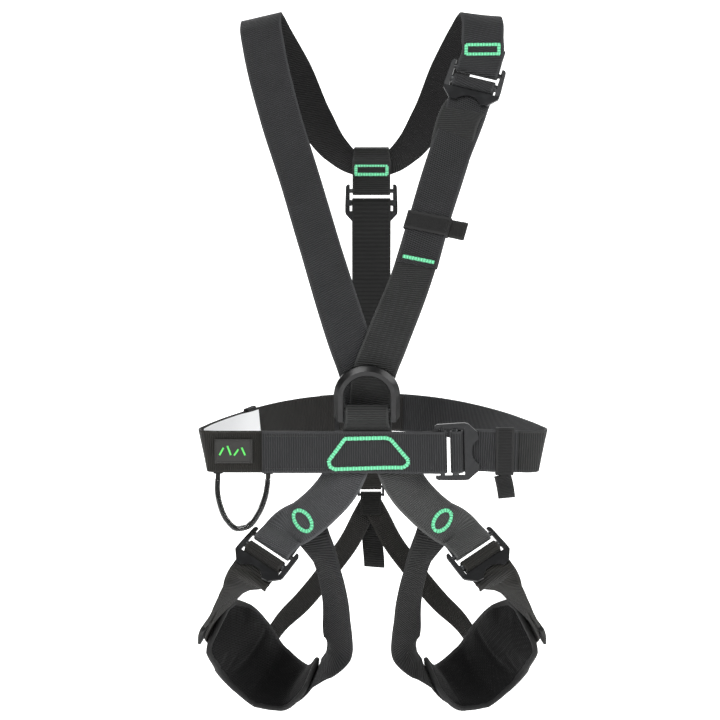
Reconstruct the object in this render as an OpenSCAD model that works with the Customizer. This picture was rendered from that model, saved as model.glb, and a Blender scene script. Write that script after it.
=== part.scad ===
/* [Webbing] */
// Width of the main harness webbing
web_w = 45; // [43:0.5:46]
// Thickness of the main harness webbing
web_t = 2.2; // [1.8:0.1:2.4]
// Width of the rear riser webbing
riser_w = 25; // [20:1:30]
// Thickness of the rear riser webbing
riser_t = 1.8; // [1.4:0.1:2.2]
// Length between cross-sections along a strap
ring_step = 11; // [8:1:16]

/* [Thigh pads] */
// Thickness of a thigh pad
pad_t = 8; // [6:0.5:9]

/* [Ventral ring] */
// Outside width of the ventral ring
ring_w = 69; // [66:1:72]
// Width of the ring's eye
eye_w = 48; // [46:1:50]
// Thickness of the ring
ring_t = 12; // [10:0.5:13]
// Width of the slope around the ring's rim
ring_slope = 4.5; // [2:0.5:5]
// How far the ring leans forward at rest
ring_lean = 15; // [5:1:25]

/* [Buckles] */
// Outside width of a buckle frame
frame_w = 61; // [58:1:64]
// Thickness of a buckle frame
frame_t = 3; // [2.6:0.1:3]
// Distance from the fixed bar to the plate's end
frame_reach = 38.5; // [36:0.5:42]
// Distance that a slide bar travels
bar_travel = 2.5; // [1:0.5:2.5]

/* [Gear loop] */
// Outside diameter of the clear tube
tube_d = 7.6; // [6:0.2:8]
// Diameter of the cord inside the tube
tube_cord_d = 4; // [3:0.5:4.5]

/* [Hidden] */

webbing_colour = [0.24, 0.25, 0.26];
inner_colour = [0.11, 0.11, 0.10];
pad_colour = [0.10, 0.10, 0.10];
thread_colour = [0.45, 0.88, 0.66];
steel_colour = [0.16, 0.17, 0.18];

// Vector helpers
function unit(v) = v / norm(v);
function side(w, t) = unit(w - (w * t) * t);

// A route is a list of stations: [[x, y, z], [width direction], width factor].
// Stations are joined by smooth cubic pieces whose slopes allow for their spacing.
function spot(s) = s[0];
function factor(s) = len(s) > 2 ? s[2] : 1;
function slope(r, i) =
    i == 0 ? unit(spot(r[1]) - spot(r[0])) :
    i == len(r) - 1 ? unit(spot(r[i]) - spot(r[i - 1])) :
    let (a = norm(spot(r[i]) - spot(r[i - 1])), b = norm(spot(r[i + 1]) - spot(r[i])))
    ((spot(r[i]) - spot(r[i - 1])) * b / a + (spot(r[i + 1]) - spot(r[i])) * a / b) / (a + b);
function blend_spot(p, q, m, n, h, t) =
    (2 * pow(t, 3) - 3 * t * t + 1) * p + (pow(t, 3) - 2 * t * t + t) * h * m
    + (3 * t * t - 2 * pow(t, 3)) * q + (pow(t, 3) - t * t) * h * n;
function smooth(r, step) = [
    for (i = [0 : len(r) - 2])
        let (h = norm(spot(r[i + 1]) - spot(r[i])), count = max(1, ceil(h / step)))
        for (k = [0 : count - 1])
            let (t = k / count)
            [blend_spot(spot(r[i]), spot(r[i + 1]), slope(r, i), slope(r, i + 1), h, t),
             r[i][1] * (1 - t) + r[i + 1][1] * t,
             factor(r[i]) * (1 - t) + factor(r[i + 1]) * t],
    [spot(r[len(r) - 1]), r[len(r) - 1][1], factor(r[len(r) - 1])]
];
function heading(s, i) =
    unit(spot(s[min(i + 1, len(s) - 1)]) - spot(s[max(i - 1, 0)]));
function mirror_route(r) = [
    for (s = r) [[-s[0][0], s[0][1], s[0][2]], [-s[1][0], s[1][1], s[1][2]], factor(s)]
];
function shifted(r, lift, step) = let (s = smooth(r, step)) [
    for (i = [0 : len(s) - 1])
        let (t = heading(s, i), w = side(s[i][1], t))
        [spot(s[i]) + lift * cross(t, w), w, factor(s[i])]
];

// A flat strap of the given width and thickness along a route
module strap(route, width, thick, step = ring_step) {
    s = smooth(route, step);
    n = len(s);
    points = [
        for (i = [0 : n - 1])
            let (t = heading(s, i), w = side(s[i][1], t), up = cross(t, w),
                 a = w * width * factor(s[i]) / 2, b = up * thick / 2)
            for (corner = [-a - b, a - b, a + b, -a + b]) spot(s[i]) + corner
    ];
    walls = [
        for (i = [0 : n - 2])
            for (k = [0 : 3])
                let (a = 4 * i + k, b = 4 * i + (k + 1) % 4)
                for (face = k == 2 ? [[a, a + 4, b + 4], [a, b + 4, b]] : [[a, a + 4, b], [b, a + 4, b + 4]])
                    face
    ];
    last = 4 * (n - 1);
    ends = [[0, 1, 2], [0, 2, 3], [last, last + 2, last + 1], [last, last + 3, last + 2]];
    polyhedron(points, concat(walls, ends), convexity = 10);
}

// A round cord or tube wall along a route, with an inner radius of 0 for a solid one
function loop_points(s, i, radius, sides) =
    let (t = heading(s, i), w = side(s[i][1], t), up = cross(t, w))
    [for (k = [0 : sides - 1]) spot(s[i]) + radius * (cos(360 * k / sides) * w + sin(360 * k / sides) * up)];
module cord(route, radius, sides, step) {
    s = smooth(route, step);
    n = len(s);
    points = [for (i = [0 : n - 1]) each loop_points(s, i, radius, sides)];
    walls = [
        for (i = [0 : n - 2])
            for (k = [0 : sides - 1])
                let (a = sides * i + k, b = sides * i + (k + 1) % sides)
                for (face = [[a, a + sides, b], [b, a + sides, b + sides]]) face
    ];
    ends = [[for (k = [0 : sides - 1]) k], [for (k = [sides - 1 : -1 : 0]) sides * (n - 1) + k]];
    polyhedron(points, concat(walls, ends), convexity = 10);
}

// A buckle place: [fixed bar centre, direction towards the plate, direction across]
function axes(b) =
    let (v = unit(b[1]), u = unit(b[2] - (b[2] * v) * v))
    [u, v, cross(u, v)];
function inside(b, y, z) = let (a = axes(b)) b[0] + y * a[1] + z * a[2];
module at_buckle(b) {
    a = axes(b);
    multmatrix([
        [a[0][0], a[1][0], a[2][0], b[0][0]],
        [a[0][1], a[1][1], a[2][1], b[0][1]],
        [a[0][2], a[1][2], a[2][2], b[0][2]],
        [0, 0, 0, 1]
    ]) children();
}

fixed_bar_r = 2.5;
slide_bar_r = 3;
slide_y = 13.75;
wrap_r = slide_bar_r + 0.3 + web_t / 2;
loop_r = fixed_bar_r + 0.3 + web_t / 2;

// Webbing folded round a buckle's fixed bar, with both plies leading away from the plate
function sewn_fold(b, flip, top_end, tail_end) = let (u = axes(b)[0] * flip) [
    [inside(b, -top_end, 1.3), u],
    [inside(b, -14, 1.7), u],
    [inside(b, -6, 3.5), u],
    for (k = [0 : 6]) [inside(b, loop_r * sin(180 * k / 6), loop_r * cos(180 * k / 6)), u],
    [inside(b, -6, -3.5), u],
    [inside(b, -14, -1.7), u],
    [inside(b, -tail_end, -1.3), u]
];
// Webbing threaded round a slide bar: the load ply comes in below, the tail ply leaves above it
function threaded(b, flip, load_end, tail_end) = let (u = axes(b)[0] * flip) [
    [inside(b, load_end, -5.4), u],
    [inside(b, 24, -5.4), u],
    [inside(b, 14.5, -5.4), u],
    [inside(b, 10.6, -3.6), u],
    for (k = [0 : 3]) [inside(b, slide_y - wrap_r * cos(30 * k), wrap_r * sin(30 * k)), u],
    for (k = [0 : 3]) [inside(b, slide_y + bar_travel + wrap_r * sin(30 * k), wrap_r * cos(30 * k)), u],
    [inside(b, 21.2, -2.0), u],
    [inside(b, 23.2, -2.95), u],
    [inside(b, 27, -2.95), u],
    [inside(b, tail_end, -2.95), u]
];

waist_buckle = [[73, -110.5, 1], [1, 0, 0.03], [0, 0, -1]];
shoulder_buckle = [[112, -24, 396], [-0.29, -0.37, -0.88], [-0.95, 0.2, 0.23]];
back_buckle = [[0, 110, 264], [0, 0, -1], [1, 0, 0]];
leg_buckle_left = [[-105, -108, -101], [-0.57, -0.57, -0.58], [-0.81, 0.37, 0.46]];

// Routes of the webbing, from hand-set stations
belt_front_y = -106.3;
front_belt_route = concat(
    [
        [[-116, belt_front_y, 0], [0, 0, 1]],
        [[-60, belt_front_y, 0], [0, 0, 1]],
        [[0, belt_front_y, 0], [0, 0, 1]],
        [[8, belt_front_y, 0], [0, 0, 1]],
        [[36, -109.4, 0], [0, 0, 1]]
    ],
    sewn_fold(waist_buckle, -1, 18, 20)
);
left_belt_route = [
    [[-72, -103.8, 0], [0, 0, 1]],
    [[-120, -103.8, 0], [0, 0, 1]],
    [[-152, -103.8, 0], [-0.04, 0, 1]],
    [[-167, -103, 0], [-0.1, 0, 1]],
    [[-176, -99.5, 0], [-0.16, 0, 1]],
    [[-179, -90, 0], [-0.2, 0, 1]],
    [[-174, -70, 0], [-0.2, 0, 1]],
    [[-161, -34, 0], [-0.18, 0, 1]],
    [[-145, 2, 0], [-0.14, 0, 1]],
    [[-124, 42, 0], [-0.1, 0.05, 1]],
    [[-96, 80, 0], [-0.05, 0.08, 1]],
    [[-66, 106, 0], [0, 0.1, 1]],
    [[-44, 116, 0], [0, 0.1, 1]]
];
right_belt_route = concat(
    [
        [[-60, 112.4, 0], [0, 0.1, 1]],
        [[-40, 121, 0], [0, 0.1, 1]],
        [[0, 129, 0], [0, 0.1, 1]],
        [[40, 122, 0], [0, 0.1, 1]],
        [[74, 102, 0], [0, 0.1, 1]],
        [[102, 74, 0], [0.05, 0.08, 1]],
        [[126, 40, 0], [0.1, 0.05, 1]],
        [[147, 2, 0], [0.14, 0, 1]],
        [[162, -34, 0], [0.18, 0, 1]],
        [[175, -70, 0], [0.2, 0, 1]],
        [[180, -90, 0], [0.2, 0, 1]],
        [[177, -99.8, 0], [0.16, 0, 1]],
        [[168, -104, 0], [0.1, 0, 1]],
        [[154, -105, 0.5], [0.04, 0, 1]],
        [[128, -105.1, 1.2], [0, 0, 1]]
    ],
    threaded(waist_buckle, -1, 40, 40),
    [
        [[128, -107.9, 1.5], [0, 0, 1]],
        [[152, -107.9, 1], [0, 0, 1]]
    ]
);

// The long shoulder strap: up the left chest, over the shoulder, through the yoke loop and over the right
long_strap_route = concat(
    [
        [[-8, -92.2, -16], [-1, 0, 0]],
        [[-8, -92.4, 36], [-1, 0, 0]],
        [[-9, -94.6, 60], [-1, -0.02, 0]],
        [[-13, -107.5, 86], [-0.99, -0.06, -0.1]],
        [[-24, -110, 118], [-0.97, -0.16, -0.2]],
        [[-53.5, -95, 211], [-0.91, -0.38, -0.22]],
        [[-76, -67, 283], [-0.91, -0.38, -0.22]],
        [[-98, -40, 350], [-0.93, -0.3, -0.22]],
        [[-116, -13, 421], [-0.95, -0.15, -0.24]],
        [[-120, -2, 446], [-0.96, 0, -0.23]],
        [[-119.5, 10, 454.5], [-0.96, 0.05, -0.22]],
        [[-118, 21, 452], [-0.96, 0.05, -0.22]],
        [[-111, 36, 438], [-0.95, 0.1, -0.3]],
        [[-89, 64, 398], [-0.88, 0.15, -0.45]],
        [[-64, 88, 344], [-0.7, 0.38, -0.6], 0.97],
        [[-42, 100, 312], [-0.45, 0.58, -0.68], 0.88],
        [[-21, 105.5, 296], [-0.12, 0.68, -0.73], 0.77],
        [[0, 106.5, 293], [0, 0.7, -0.71], 0.77],
        [[21, 105.5, 296], [0.12, 0.68, -0.73], 0.77],
        [[42, 100, 312], [0.45, 0.58, -0.68], 0.88],
        [[64, 88, 344], [0.7, 0.38, -0.6], 0.97],
        [[88, 64, 400], [0.88, 0.15, -0.4]],
        [[108, 36, 441], [0.95, 0.1, -0.2]],
        [[115, 21, 454], [0.98, 0.05, -0.12]],
        [[117, 10, 456.5], [0.99, 0, -0.11]],
        [[118.5, -1, 449], [0.98, -0.05, -0.14]],
        [[118, -10, 432], [0.96, -0.15, -0.2]]
    ],
    sewn_fold(shoulder_buckle, -1, 19, 30)
);
right_strap_route = concat(
    [
        [[-2, -95.1, -16], [1, 0, 0]],
        [[-2, -95.2, 36], [1, 0, 0]],
        [[-1, -99, 60], [1, -0.02, 0]],
        [[2, -112.9, 86], [0.99, -0.06, -0.1]],
        [[14, -113.5, 118], [0.97, -0.16, -0.2]],
        [[40, -104, 184], [0.9, -0.38, -0.24]],
        [[57, -86, 237], [0.9, -0.38, -0.24]],
        [[80, -60, 306], [0.92, -0.32, -0.24]],
        [[94, -40, 352], [0.94, -0.24, -0.23]]
    ],
    threaded(shoulder_buckle, -1, 34, 44),
    [
        [[78, -65.6, 302], [0.92, -0.32, -0.24]],
        [[57.5, -89.3, 238], [0.9, -0.38, -0.24]],
        [[45.5, -102.8, 196], [0.9, -0.38, -0.24]]
    ]
);

leg_strap_left_route = concat(
    [
        [[-22.5, -98.6, 12], [0.97, 0, -0.24]],
        [[-25, -98.6, -12], [0.88, 0, -0.44]],
        [[-35, -98.8, -36], [0.76, -0.3, -0.55]],
        [[-53, -99, -58], [0.66, -0.42, -0.62]],
        [[-74, -98.5, -76], [0.66, -0.42, -0.62]]
    ],
    sewn_fold(leg_buckle_left, -1, 22, 22)
);
// Thigh pad: its width direction runs from the knee edge to the buttock edge
pad_left_route = [
    [[-169, -55, -203], [0.44, 0.87, 0.2], 0.6],
    [[-167, -48, -209], [0.46, 0.86, 0.22], 0.82],
    [[-155, -22, -231], [0.55, 0.8, 0.26], 1],
    [[-138, 7, -262], [0.55, 0.77, 0.34], 1.08],
    [[-115, 18, -292], [0.41, 0.77, 0.48], 1.04],
    [[-91, 9, -300], [0.38, 0.84, 0.38], 0.9],
    [[-73, -12, -282], [0.3, 0.86, 0.42], 0.75],
    [[-67, -20, -271], [0.27, 0.86, 0.44], 0.6]
];
pad_outside = shifted(pad_left_route, -pad_t / 2 - web_t / 2 - 0.8, ring_step);
under_knee = 14;
// Thigh adjuster: the load ply rises from the pad to the slide bar and the tail runs back beside it
thigh_adjuster_route = concat(
    [
        [0.1 * spot(pad_outside[under_knee]) + 0.9 * spot(pad_outside[under_knee + 1]),
         pad_outside[under_knee][1]]
    ],
    [
        for (i = [under_knee : -1 : 0]) [spot(pad_outside[i]), pad_outside[i][1]]
    ],
    [
        [[-163, -68, -186], [0.42, 0.88, 0.2]],
        [[-152, -82, -168], [0.5, 0.84, 0.1]],
        [[-144, -95, -156], [0.62, 0.76, -0.1]],
        [[-137, -106, -145], [0.72, 0.5, -0.36]]
    ],
    threaded(leg_buckle_left, -1, 40, 32),
    [
        [[-136, -113, -142], [0.72, 0.5, -0.36]],
        [[-147, -101, -155], [0.62, 0.76, -0.1]],
        [[-158, -88, -170], [0.5, 0.84, 0.1]],
        [[-169, -72, -188], [0.42, 0.88, 0.2]]
    ]
);
thigh_strap_left_route = concat(
    [
        [[-80, -87, -66], [0.8, -0.07, 0.58]],
        [[-75, -93.5, -77], [0.8, -0.1, 0.56]],
        [[-63, -91, -97], [0.66, -0.53, 0.5]],
        [[-49, -84, -129], [0.58, -0.79, 0.2]],
        [[-42, -74, -159], [0.56, -0.8, 0.2]],
        [[-39, -61, -188], [0.56, -0.8, 0.2]],
        [[-38, -49, -214], [0.62, -0.74, 0.22]],
        [[-39, -37, -238], [0.64, -0.74, 0.2]],
        [[-48, -27, -258], [0.3, -0.9, -0.1]]
    ],
    [
        for (i = [len(pad_outside) - 1 : -1 : under_knee + 1]) [spot(pad_outside[i]), -pad_outside[i][1]]
    ]
);
riser_left_route = [
    [[0, 127.9, -109.5], [0.94, 0.05, -0.33]],
    [[-10, 124.5, -127], [0.88, 0.06, -0.46]],
    [[-26, 115, -156], [0.86, 0.12, -0.5]],
    [[-46, 102, -181], [0.84, 0.2, -0.52]],
    [[-81, 74, -218], [0.8, 0.3, -0.5]],
    [[-106, 56, -239], [0.66, 0.55, -0.5]],
    [[-115.6, 50.6, -252], [0.5, 0.62, -0.6]],
    [[-122.3, 37.4, -267.3], [0.42, 0.7, -0.58]]
];
// The right riser crosses in front of the left one and falls back behind it
riser_right_route = [
    for (i = [0 : len(riser_left_route) - 1])
        let (s = mirror_route(riser_left_route)[i])
        [spot(s) - [0, 3.6 * max(0, min(1, 1.25 - i / 4)), 0], s[1]]
];
gear_loop_route = [
    [[-163, -103.5, -29.5], [1, 0, 0]],
    [[-163.5, -104.8, -40], [1, 0, 0.1]],
    [[-161, -107, -55], [0.95, 0, 0.3]],
    [[-154, -108, -72], [0.8, 0, 0.6]],
    [[-143, -108, -82], [0.4, 0, 0.9]],
    [[-132, -108, -80], [-0.4, 0, 0.9]],
    [[-121, -107.5, -67], [-0.8, 0, 0.6]],
    [[-113, -106, -48], [-0.95, 0, 0.3]],
    [[-110, -103.5, -29.5], [-1, 0, 0]]
];

// Belt
module front_belt() {
    color(webbing_colour) strap(front_belt_route, web_w, web_t);
}
module waist_strap_left() {
    color(inner_colour) strap(left_belt_route, web_w, web_t);
}
module waist_strap_right() {
    color(inner_colour) strap(right_belt_route, web_w, web_t);
}
module back_overlap_patch() {
    patch = [
        [[-38, 119.2, 0], [0, 0.1, 1]],
        [[-18, 124.6, 0], [0, 0.1, 1]],
        [[0, 126.8, 0], [0, 0.1, 1]],
        [[18, 125, 0], [0, 0.1, 1]],
        [[38, 120.2, 0], [0, 0.1, 1]]
    ];
    color(inner_colour) strap(patch, web_w - 4, 1.2);
}
module inner_label() {
    label = [
        [[-175.4, -84.6, 2], [-0.2, 0, 1]],
        [[-168.8, -60.6, 2], [-0.2, 0, 1]],
        [[-159, -34.8, 2], [-0.18, 0, 1]],
        [[-145.8, -4.8, 2], [-0.14, 0, 1]]
    ];
    color([0.94, 0.95, 0.95]) strap(label, 36, 0.6);
}
module name_patch() {
    color([0.16, 0.15, 0.13])
        translate([-146, -105.6, 1])
            rotate([90, 0, 0])
                linear_extrude(1.2)
                    square([40, 26], center = true);
}
module side_keeper() {
    wall = 1.4;
    gap = web_t + 2;
    color(inner_colour)
        translate([-135, 21.5, 0])
            rotate([-6.6, 0, 62])
                difference() {
                    cube([18, gap + 2 * wall, web_w + 6], center = true);
                    cube([30, gap, web_w + 2], center = true);
                }
}

// Satin stitching: a flat band between an outer and an inner outline
module bead_loop(outer, inner) {
    linear_extrude(0.8)
        difference() {
            polygon(outer);
            polygon(inner);
        }
}
module belt_stitching() {
    color(thread_colour)
        translate([0, -107.1, 0])
            rotate([90, 0, 0])
                bead_loop(
                    [[-30, 17], [14.5, 18], [20.5, 16], [39.5, -6.5], [39.5, -13],
                     [33, -18], [-41, -20.5], [-47, -17], [-48.5, -8.5]],
                    [[-28, 12], [13.5, 13], [17.5, 12], [34.5, -7.5], [34.5, -10.5],
                     [31, -13], [-39, -15.5], [-43, -13], [-43.5, -9.5]]
                );
}

// Ring and its webbing saddle
ring_place = [-6, -112, 46];
bar_r = 3;
arch_z = 51 - ring_w / 2;
saddle_route = [
    [[-6, -103.6, -8], [1, 0, 0], 1.2],
    [[-6, -103.6, 16], [1, 0, 0], 1.2],
    [[-6, -103.6, 24], [1, 0, 0], 1.12],
    [[-6, -108.8, 31.5], [1, 0, 0], 1.02],
    [[-6, -114.4, 38], [1, 0, 0], 1],
    [[-6, -116.4, 46], [1, 0, 0], 1],
    [[-6, -115.1, 49.1], [1, 0, 0], 1],
    [[-6, -112, 50.4], [1, 0, 0], 1],
    [[-6, -108.9, 49.1], [1, 0, 0], 1],
    [[-6, -107.6, 46], [1, 0, 0], 1],
    [[-6, -107.2, 38], [1, 0, 0], 1],
    [[-6, -103.4, 30], [1, 0, 0], 1],
    [[-6, -101.1, 21], [1, 0, 0], 1],
    [[-6, -101.1, 16], [1, 0, 0], 1],
    [[-6, -101.1, -8], [1, 0, 0], 1]
];
module ring_saddle() {
    color(webbing_colour) strap(saddle_route, web_w, web_t);
}
// Half of the ring's rim section, from the eye outwards
module rim_section() {
    half = ring_t / 2;
    outer = ring_w / 2;
    polygon([
        [eye_w / 2 + 1.2, -half], [outer - ring_slope, -half], [outer, -half + ring_slope],
        [outer, half - ring_slope], [outer - ring_slope, half], [eye_w / 2 + 1.2, half],
        [eye_w / 2, half - 1.2], [eye_w / 2, -half + 1.2]
    ]);
}
module ventral_ring() {
    leg_foot = -11.5;
    color(steel_colour)
        translate(ring_place)
            rotate([ring_lean, 0, 0]) {
                translate([0, 0, arch_z])
                    rotate([90, 0, 0])
                        rotate_extrude(angle = 180, $fn = 96) rim_section();
                difference() {
                    for (side = [0, 1])
                        mirror([side, 0, 0])
                            translate([0, 0, leg_foot])
                                linear_extrude(arch_z - leg_foot + 0.4) rim_section();
                    for (side = [-1, 1])
                        translate([side * (ring_w / 2 + 1.5), 0, leg_foot - 1.5])
                            rotate([0, 45, 0])
                                cube([11, 30, 11], center = true);
                }
                rotate([0, 90, 0]) cylinder(r = bar_r, h = eye_w + 4, center = true, $fn = 48);
            }
}

// Buckles
window_w = 50;
plate_y = 23.2;
frame_half_outline = [
    [0, frame_reach], [13, frame_reach], [21, frame_reach - 1.5], [frame_w / 2 - 0.6, 27],
    [frame_w / 2, 24], [frame_w / 2, 16], [frame_w / 2 - 0.8, -5], [frame_w / 2 - 2.5, -7.5],
    [window_w / 2 + 0.6, -7.5], [0, -7.5]
];
module buckle_frame() {
    notch_r = 15.4;
    notch_depth = 8;
    side_profile = [
        [-10, -frame_t / 2], [plate_y + 1, -frame_t / 2], [frame_reach + 3, frame_t / 2],
        [frame_reach + 3, 3 * frame_t / 2], [plate_y, frame_t / 2], [-10, frame_t / 2]
    ];
    difference() {
        intersection() {
            translate([0, 0, -10])
                linear_extrude(20)
                    polygon(concat(
                        frame_half_outline,
                        [for (i = [len(frame_half_outline) - 2 : -1 : 1])
                            [-frame_half_outline[i][0], frame_half_outline[i][1]]]
                    ));
            rotate([90, 0, 90])
                linear_extrude(frame_w + 10, center = true) polygon(side_profile);
        }
        translate([-window_w / 2, -12, -10]) cube([window_w, 12 + plate_y, 20]);
        translate([0, frame_reach - notch_depth + notch_r, -10])
            cylinder(r = notch_r, h = 20, $fn = 64);
    }
    rotate([0, 90, 0]) cylinder(r = fixed_bar_r, h = window_w + 3, center = true, $fn = 40);
}
// The bar's ends drop behind the frame's side rails, which keep it in the window
module slide_bar() {
    cheek_in = web_w / 2 + 0.35;
    cheek_out = window_w / 2 - 0.3;
    foot_top = -frame_t / 2 - 0.3;
    translate([0, slide_y, 0]) {
        rotate([0, 90, 0]) cylinder(r = slide_bar_r, h = 2 * cheek_out, center = true, $fn = 48);
        for (side = [0, 1])
            mirror([side, 0, 0]) {
                translate([cheek_in, -3, foot_top - 2]) cube([cheek_out - cheek_in, 6, 2 - foot_top]);
                translate([cheek_in, -3.5, foot_top - 2]) cube([29 - cheek_in, 7, 2]);
            }
    }
}
module waist_buckle_frame() {
    color(steel_colour) at_buckle(waist_buckle) buckle_frame();
}
module waist_slide_bar() {
    color(steel_colour) at_buckle(waist_buckle) slide_bar();
}
module shoulder_buckle_frame() {
    color(steel_colour) at_buckle(shoulder_buckle) buckle_frame();
}
module shoulder_slide_bar() {
    color(steel_colour) at_buckle(shoulder_buckle) slide_bar();
}
module back_buckle_frame() {
    color(steel_colour) at_buckle(back_buckle) buckle_frame();
}
module back_slide_bar() {
    color(steel_colour) at_buckle(back_buckle) slide_bar();
}
module leg_buckle_frame_left() {
    color([0.30, 0.33, 0.36]) at_buckle(leg_buckle_left) buckle_frame();
}
module leg_slide_bar_left() {
    color(steel_colour) at_buckle(leg_buckle_left) slide_bar();
}
module leg_buckle_frame_right() {
    mirror([1, 0, 0]) leg_buckle_frame_left();
}
module leg_slide_bar_right() {
    mirror([1, 0, 0]) leg_slide_bar_left();
}

// Waist keeper: an elastic sleeve round both plies, with a folded tail below it
keeper_x = 138.5;
keeper_l = 19;
module waist_keeper() {
    color(inner_colour)
        translate([keeper_x, -106.5, 1])
            difference() {
                cube([keeper_l, 8, web_w + 6], center = true);
                cube([keeper_l + 2, 5.8, web_w + 3.4], center = true);
            }
}
module waist_keeper_tail() {
    tail = [
        [[keeper_x - 2, -108, -28.6], [1, 0, 0.1]],
        [[keeper_x, -108.4, -32], [1, 0, 0.1]],
        [[keeper_x + 2.5, -108.6, -46], [1, 0, 0.1]],
        [[keeper_x + 2.8, -107, -48.5], [1, 0, 0.1]],
        [[keeper_x + 2.5, -105.4, -46], [1, 0, 0.1]],
        [[keeper_x, -105.2, -32], [1, 0, 0.1]],
        [[keeper_x - 2, -105, -28.6], [1, 0, 0.1]]
    ];
    color(inner_colour) strap(tail, 18, 1.4);
}

// Shoulder straps
module shoulder_strap_long() {
    color(webbing_colour) strap(long_strap_route, web_w, web_t);
}
module shoulder_strap_front_right() {
    color(webbing_colour) strap(right_strap_route, web_w, web_t);
}
// Two bars of stitching joined at their ends, drawn in the XY plane
module stitch_pair(width, spread) {
    bar = 4;
    linear_extrude(0.8) {
        for (y = [-spread / 2, spread / 2])
            translate([0, y]) square([width, bar], center = true);
        for (x = [-1, 1])
            translate([x * (width / 2 - 0.6), 0]) square([1.2, spread], center = true);
    }
}
shoulder_stitch_place = [[117.5, -15.8, 419], [-0.03, -0.4, -0.9], [-0.955, 0.17, 0.215]];
module shoulder_stitching() {
    color(thread_colour)
        at_buckle(shoulder_stitch_place)
            translate([0, 0, 0.5]) stitch_pair(36, 11);
}
keeper_place = [[57.4, -87.7, 238], [-0.28, -0.32, -0.9], [-0.9, 0.38, 0.24]];
end_place = [[47.4, -100.8, 202], [-0.27, -0.3, -0.91], [-0.9, 0.38, 0.24]];
module strap_end_stitching() {
    color(thread_colour)
        at_buckle(end_place)
            translate([0, 0, 0.5])
                linear_extrude(0.8) square([34, 4.2], center = true);
}
module shoulder_keeper() {
    color(inner_colour)
        at_buckle(keeper_place) {
            difference() {
                cube([web_w + 4.4, 20, 10.8], center = true);
                cube([web_w + 2, 22, 8.6], center = true);
            }
            translate([-web_w / 2 - 10.4, 0, -1.4]) cube([17.6, 19, 2.4], center = true);
        }
}

// Back: the yoke loop is sewn round the buckle's fixed bar and carries the long shoulder strap
yoke_route = concat(
    sewn_fold(back_buckle, 1, 11, 12),
    [
        [[0, 107.5, 281], [1, 0, 0]],
        [[0, 104, 289], [1, 0, 0]],
        [[0, 96, 297.8], [1, 0, 0]],
        [[0, 90.2, 304.6], [1, 0, 0], 0.96],
        [[0, 90, 311.2], [1, 0, 0], 0.91],
        [[0, 95.4, 313.6], [1, 0, 0], 0.91],
        [[0, 106, 304.2], [1, 0, 0], 0.96],
        [[0, 117, 290.6], [1, 0, 0]],
        [[0, 122.8, 282.6], [1, 0, 0]],
        [[0, 121, 278], [1, 0, 0]],
        [[0, 114.6, 275.6], [1, 0, 0]]
    ]
);
module back_yoke_loop() {
    color(webbing_colour) strap(yoke_route, web_w - 1, web_t, 8);
}
module yoke_stitching() {
    color(thread_colour)
        at_buckle([[0, 103.2, 289.6], [0, -0.69, 0.72], [1, 0, 0]])
            translate([0, 0, 0.4]) stitch_pair(37, 12);
}
back_strap_route = concat(
    [
        [[0, 120.4, -16], [1, 0, 0]],
        [[0, 120.4, 24], [1, 0, 0]],
        [[0, 118.5, 80], [1, 0, 0]],
        [[0, 110, 150], [1, 0, 0]],
        [[0, 105, 205], [1, 0, 0]]
    ],
    threaded(back_buckle, 1, 40, 56)
);
module back_strap() {
    color(webbing_colour) strap(back_strap_route, web_w, web_t);
}

// Legs
module leg_strap_left() {
    color(webbing_colour) strap(leg_strap_left_route, web_w, web_t);
}
module leg_strap_right() {
    color(webbing_colour) strap(mirror_route(leg_strap_left_route), web_w, web_t);
}
oval_place = [[-74, -99.8, -75.5], [-0.74, 0, -0.68], [-0.62, 0.42, 0.66]];
function oval(a, b) = [
    [-a, -b / 4], [-0.82 * a, -0.8 * b], [-a / 2, -b], [a / 2, -b], [0.82 * a, -0.8 * b], [a, -b / 4],
    [a, b / 4], [0.82 * a, 0.8 * b], [a / 2, b], [-a / 2, b], [-0.82 * a, 0.8 * b], [-a, b / 4]
];
module leg_stitching_left() {
    color(thread_colour)
        at_buckle(oval_place)
            translate([0, 0, 1.2]) bead_loop(oval(15.3, 10.3), oval(10.7, 5.7));
}
module leg_stitching_right() {
    mirror([1, 0, 0]) leg_stitching_left();
}
module thigh_adjuster_left() {
    color(inner_colour) strap(thigh_adjuster_route, web_w, web_t);
}
module thigh_adjuster_right() {
    color(inner_colour) strap(mirror_route(thigh_adjuster_route), web_w, web_t);
}
module thigh_strap_left() {
    color(webbing_colour) strap(thigh_strap_left_route, web_w, web_t);
}
module thigh_strap_right() {
    color(webbing_colour) strap(mirror_route(thigh_strap_left_route), web_w, web_t);
}
module thigh_pad_left() {
    color(pad_colour) strap(pad_left_route, 84, pad_t);
}
module thigh_pad_right() {
    color(pad_colour) strap(mirror_route(pad_left_route), 84, pad_t);
}
tail_loop_route = [
    [[-180.4, -66, -198], [0.34, 0.9, 0.3]],
    [[-183.6, -60, -207], [0.34, 0.9, 0.34]],
    [[-184.8, -54, -216], [0.34, 0.86, 0.4]]
];
module pad_tail_loop_left() {
    color(inner_colour) strap(tail_loop_route, 30, 4);
}
module pad_tail_loop_right() {
    color(inner_colour) strap(mirror_route(tail_loop_route), 30, 4);
}

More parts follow.
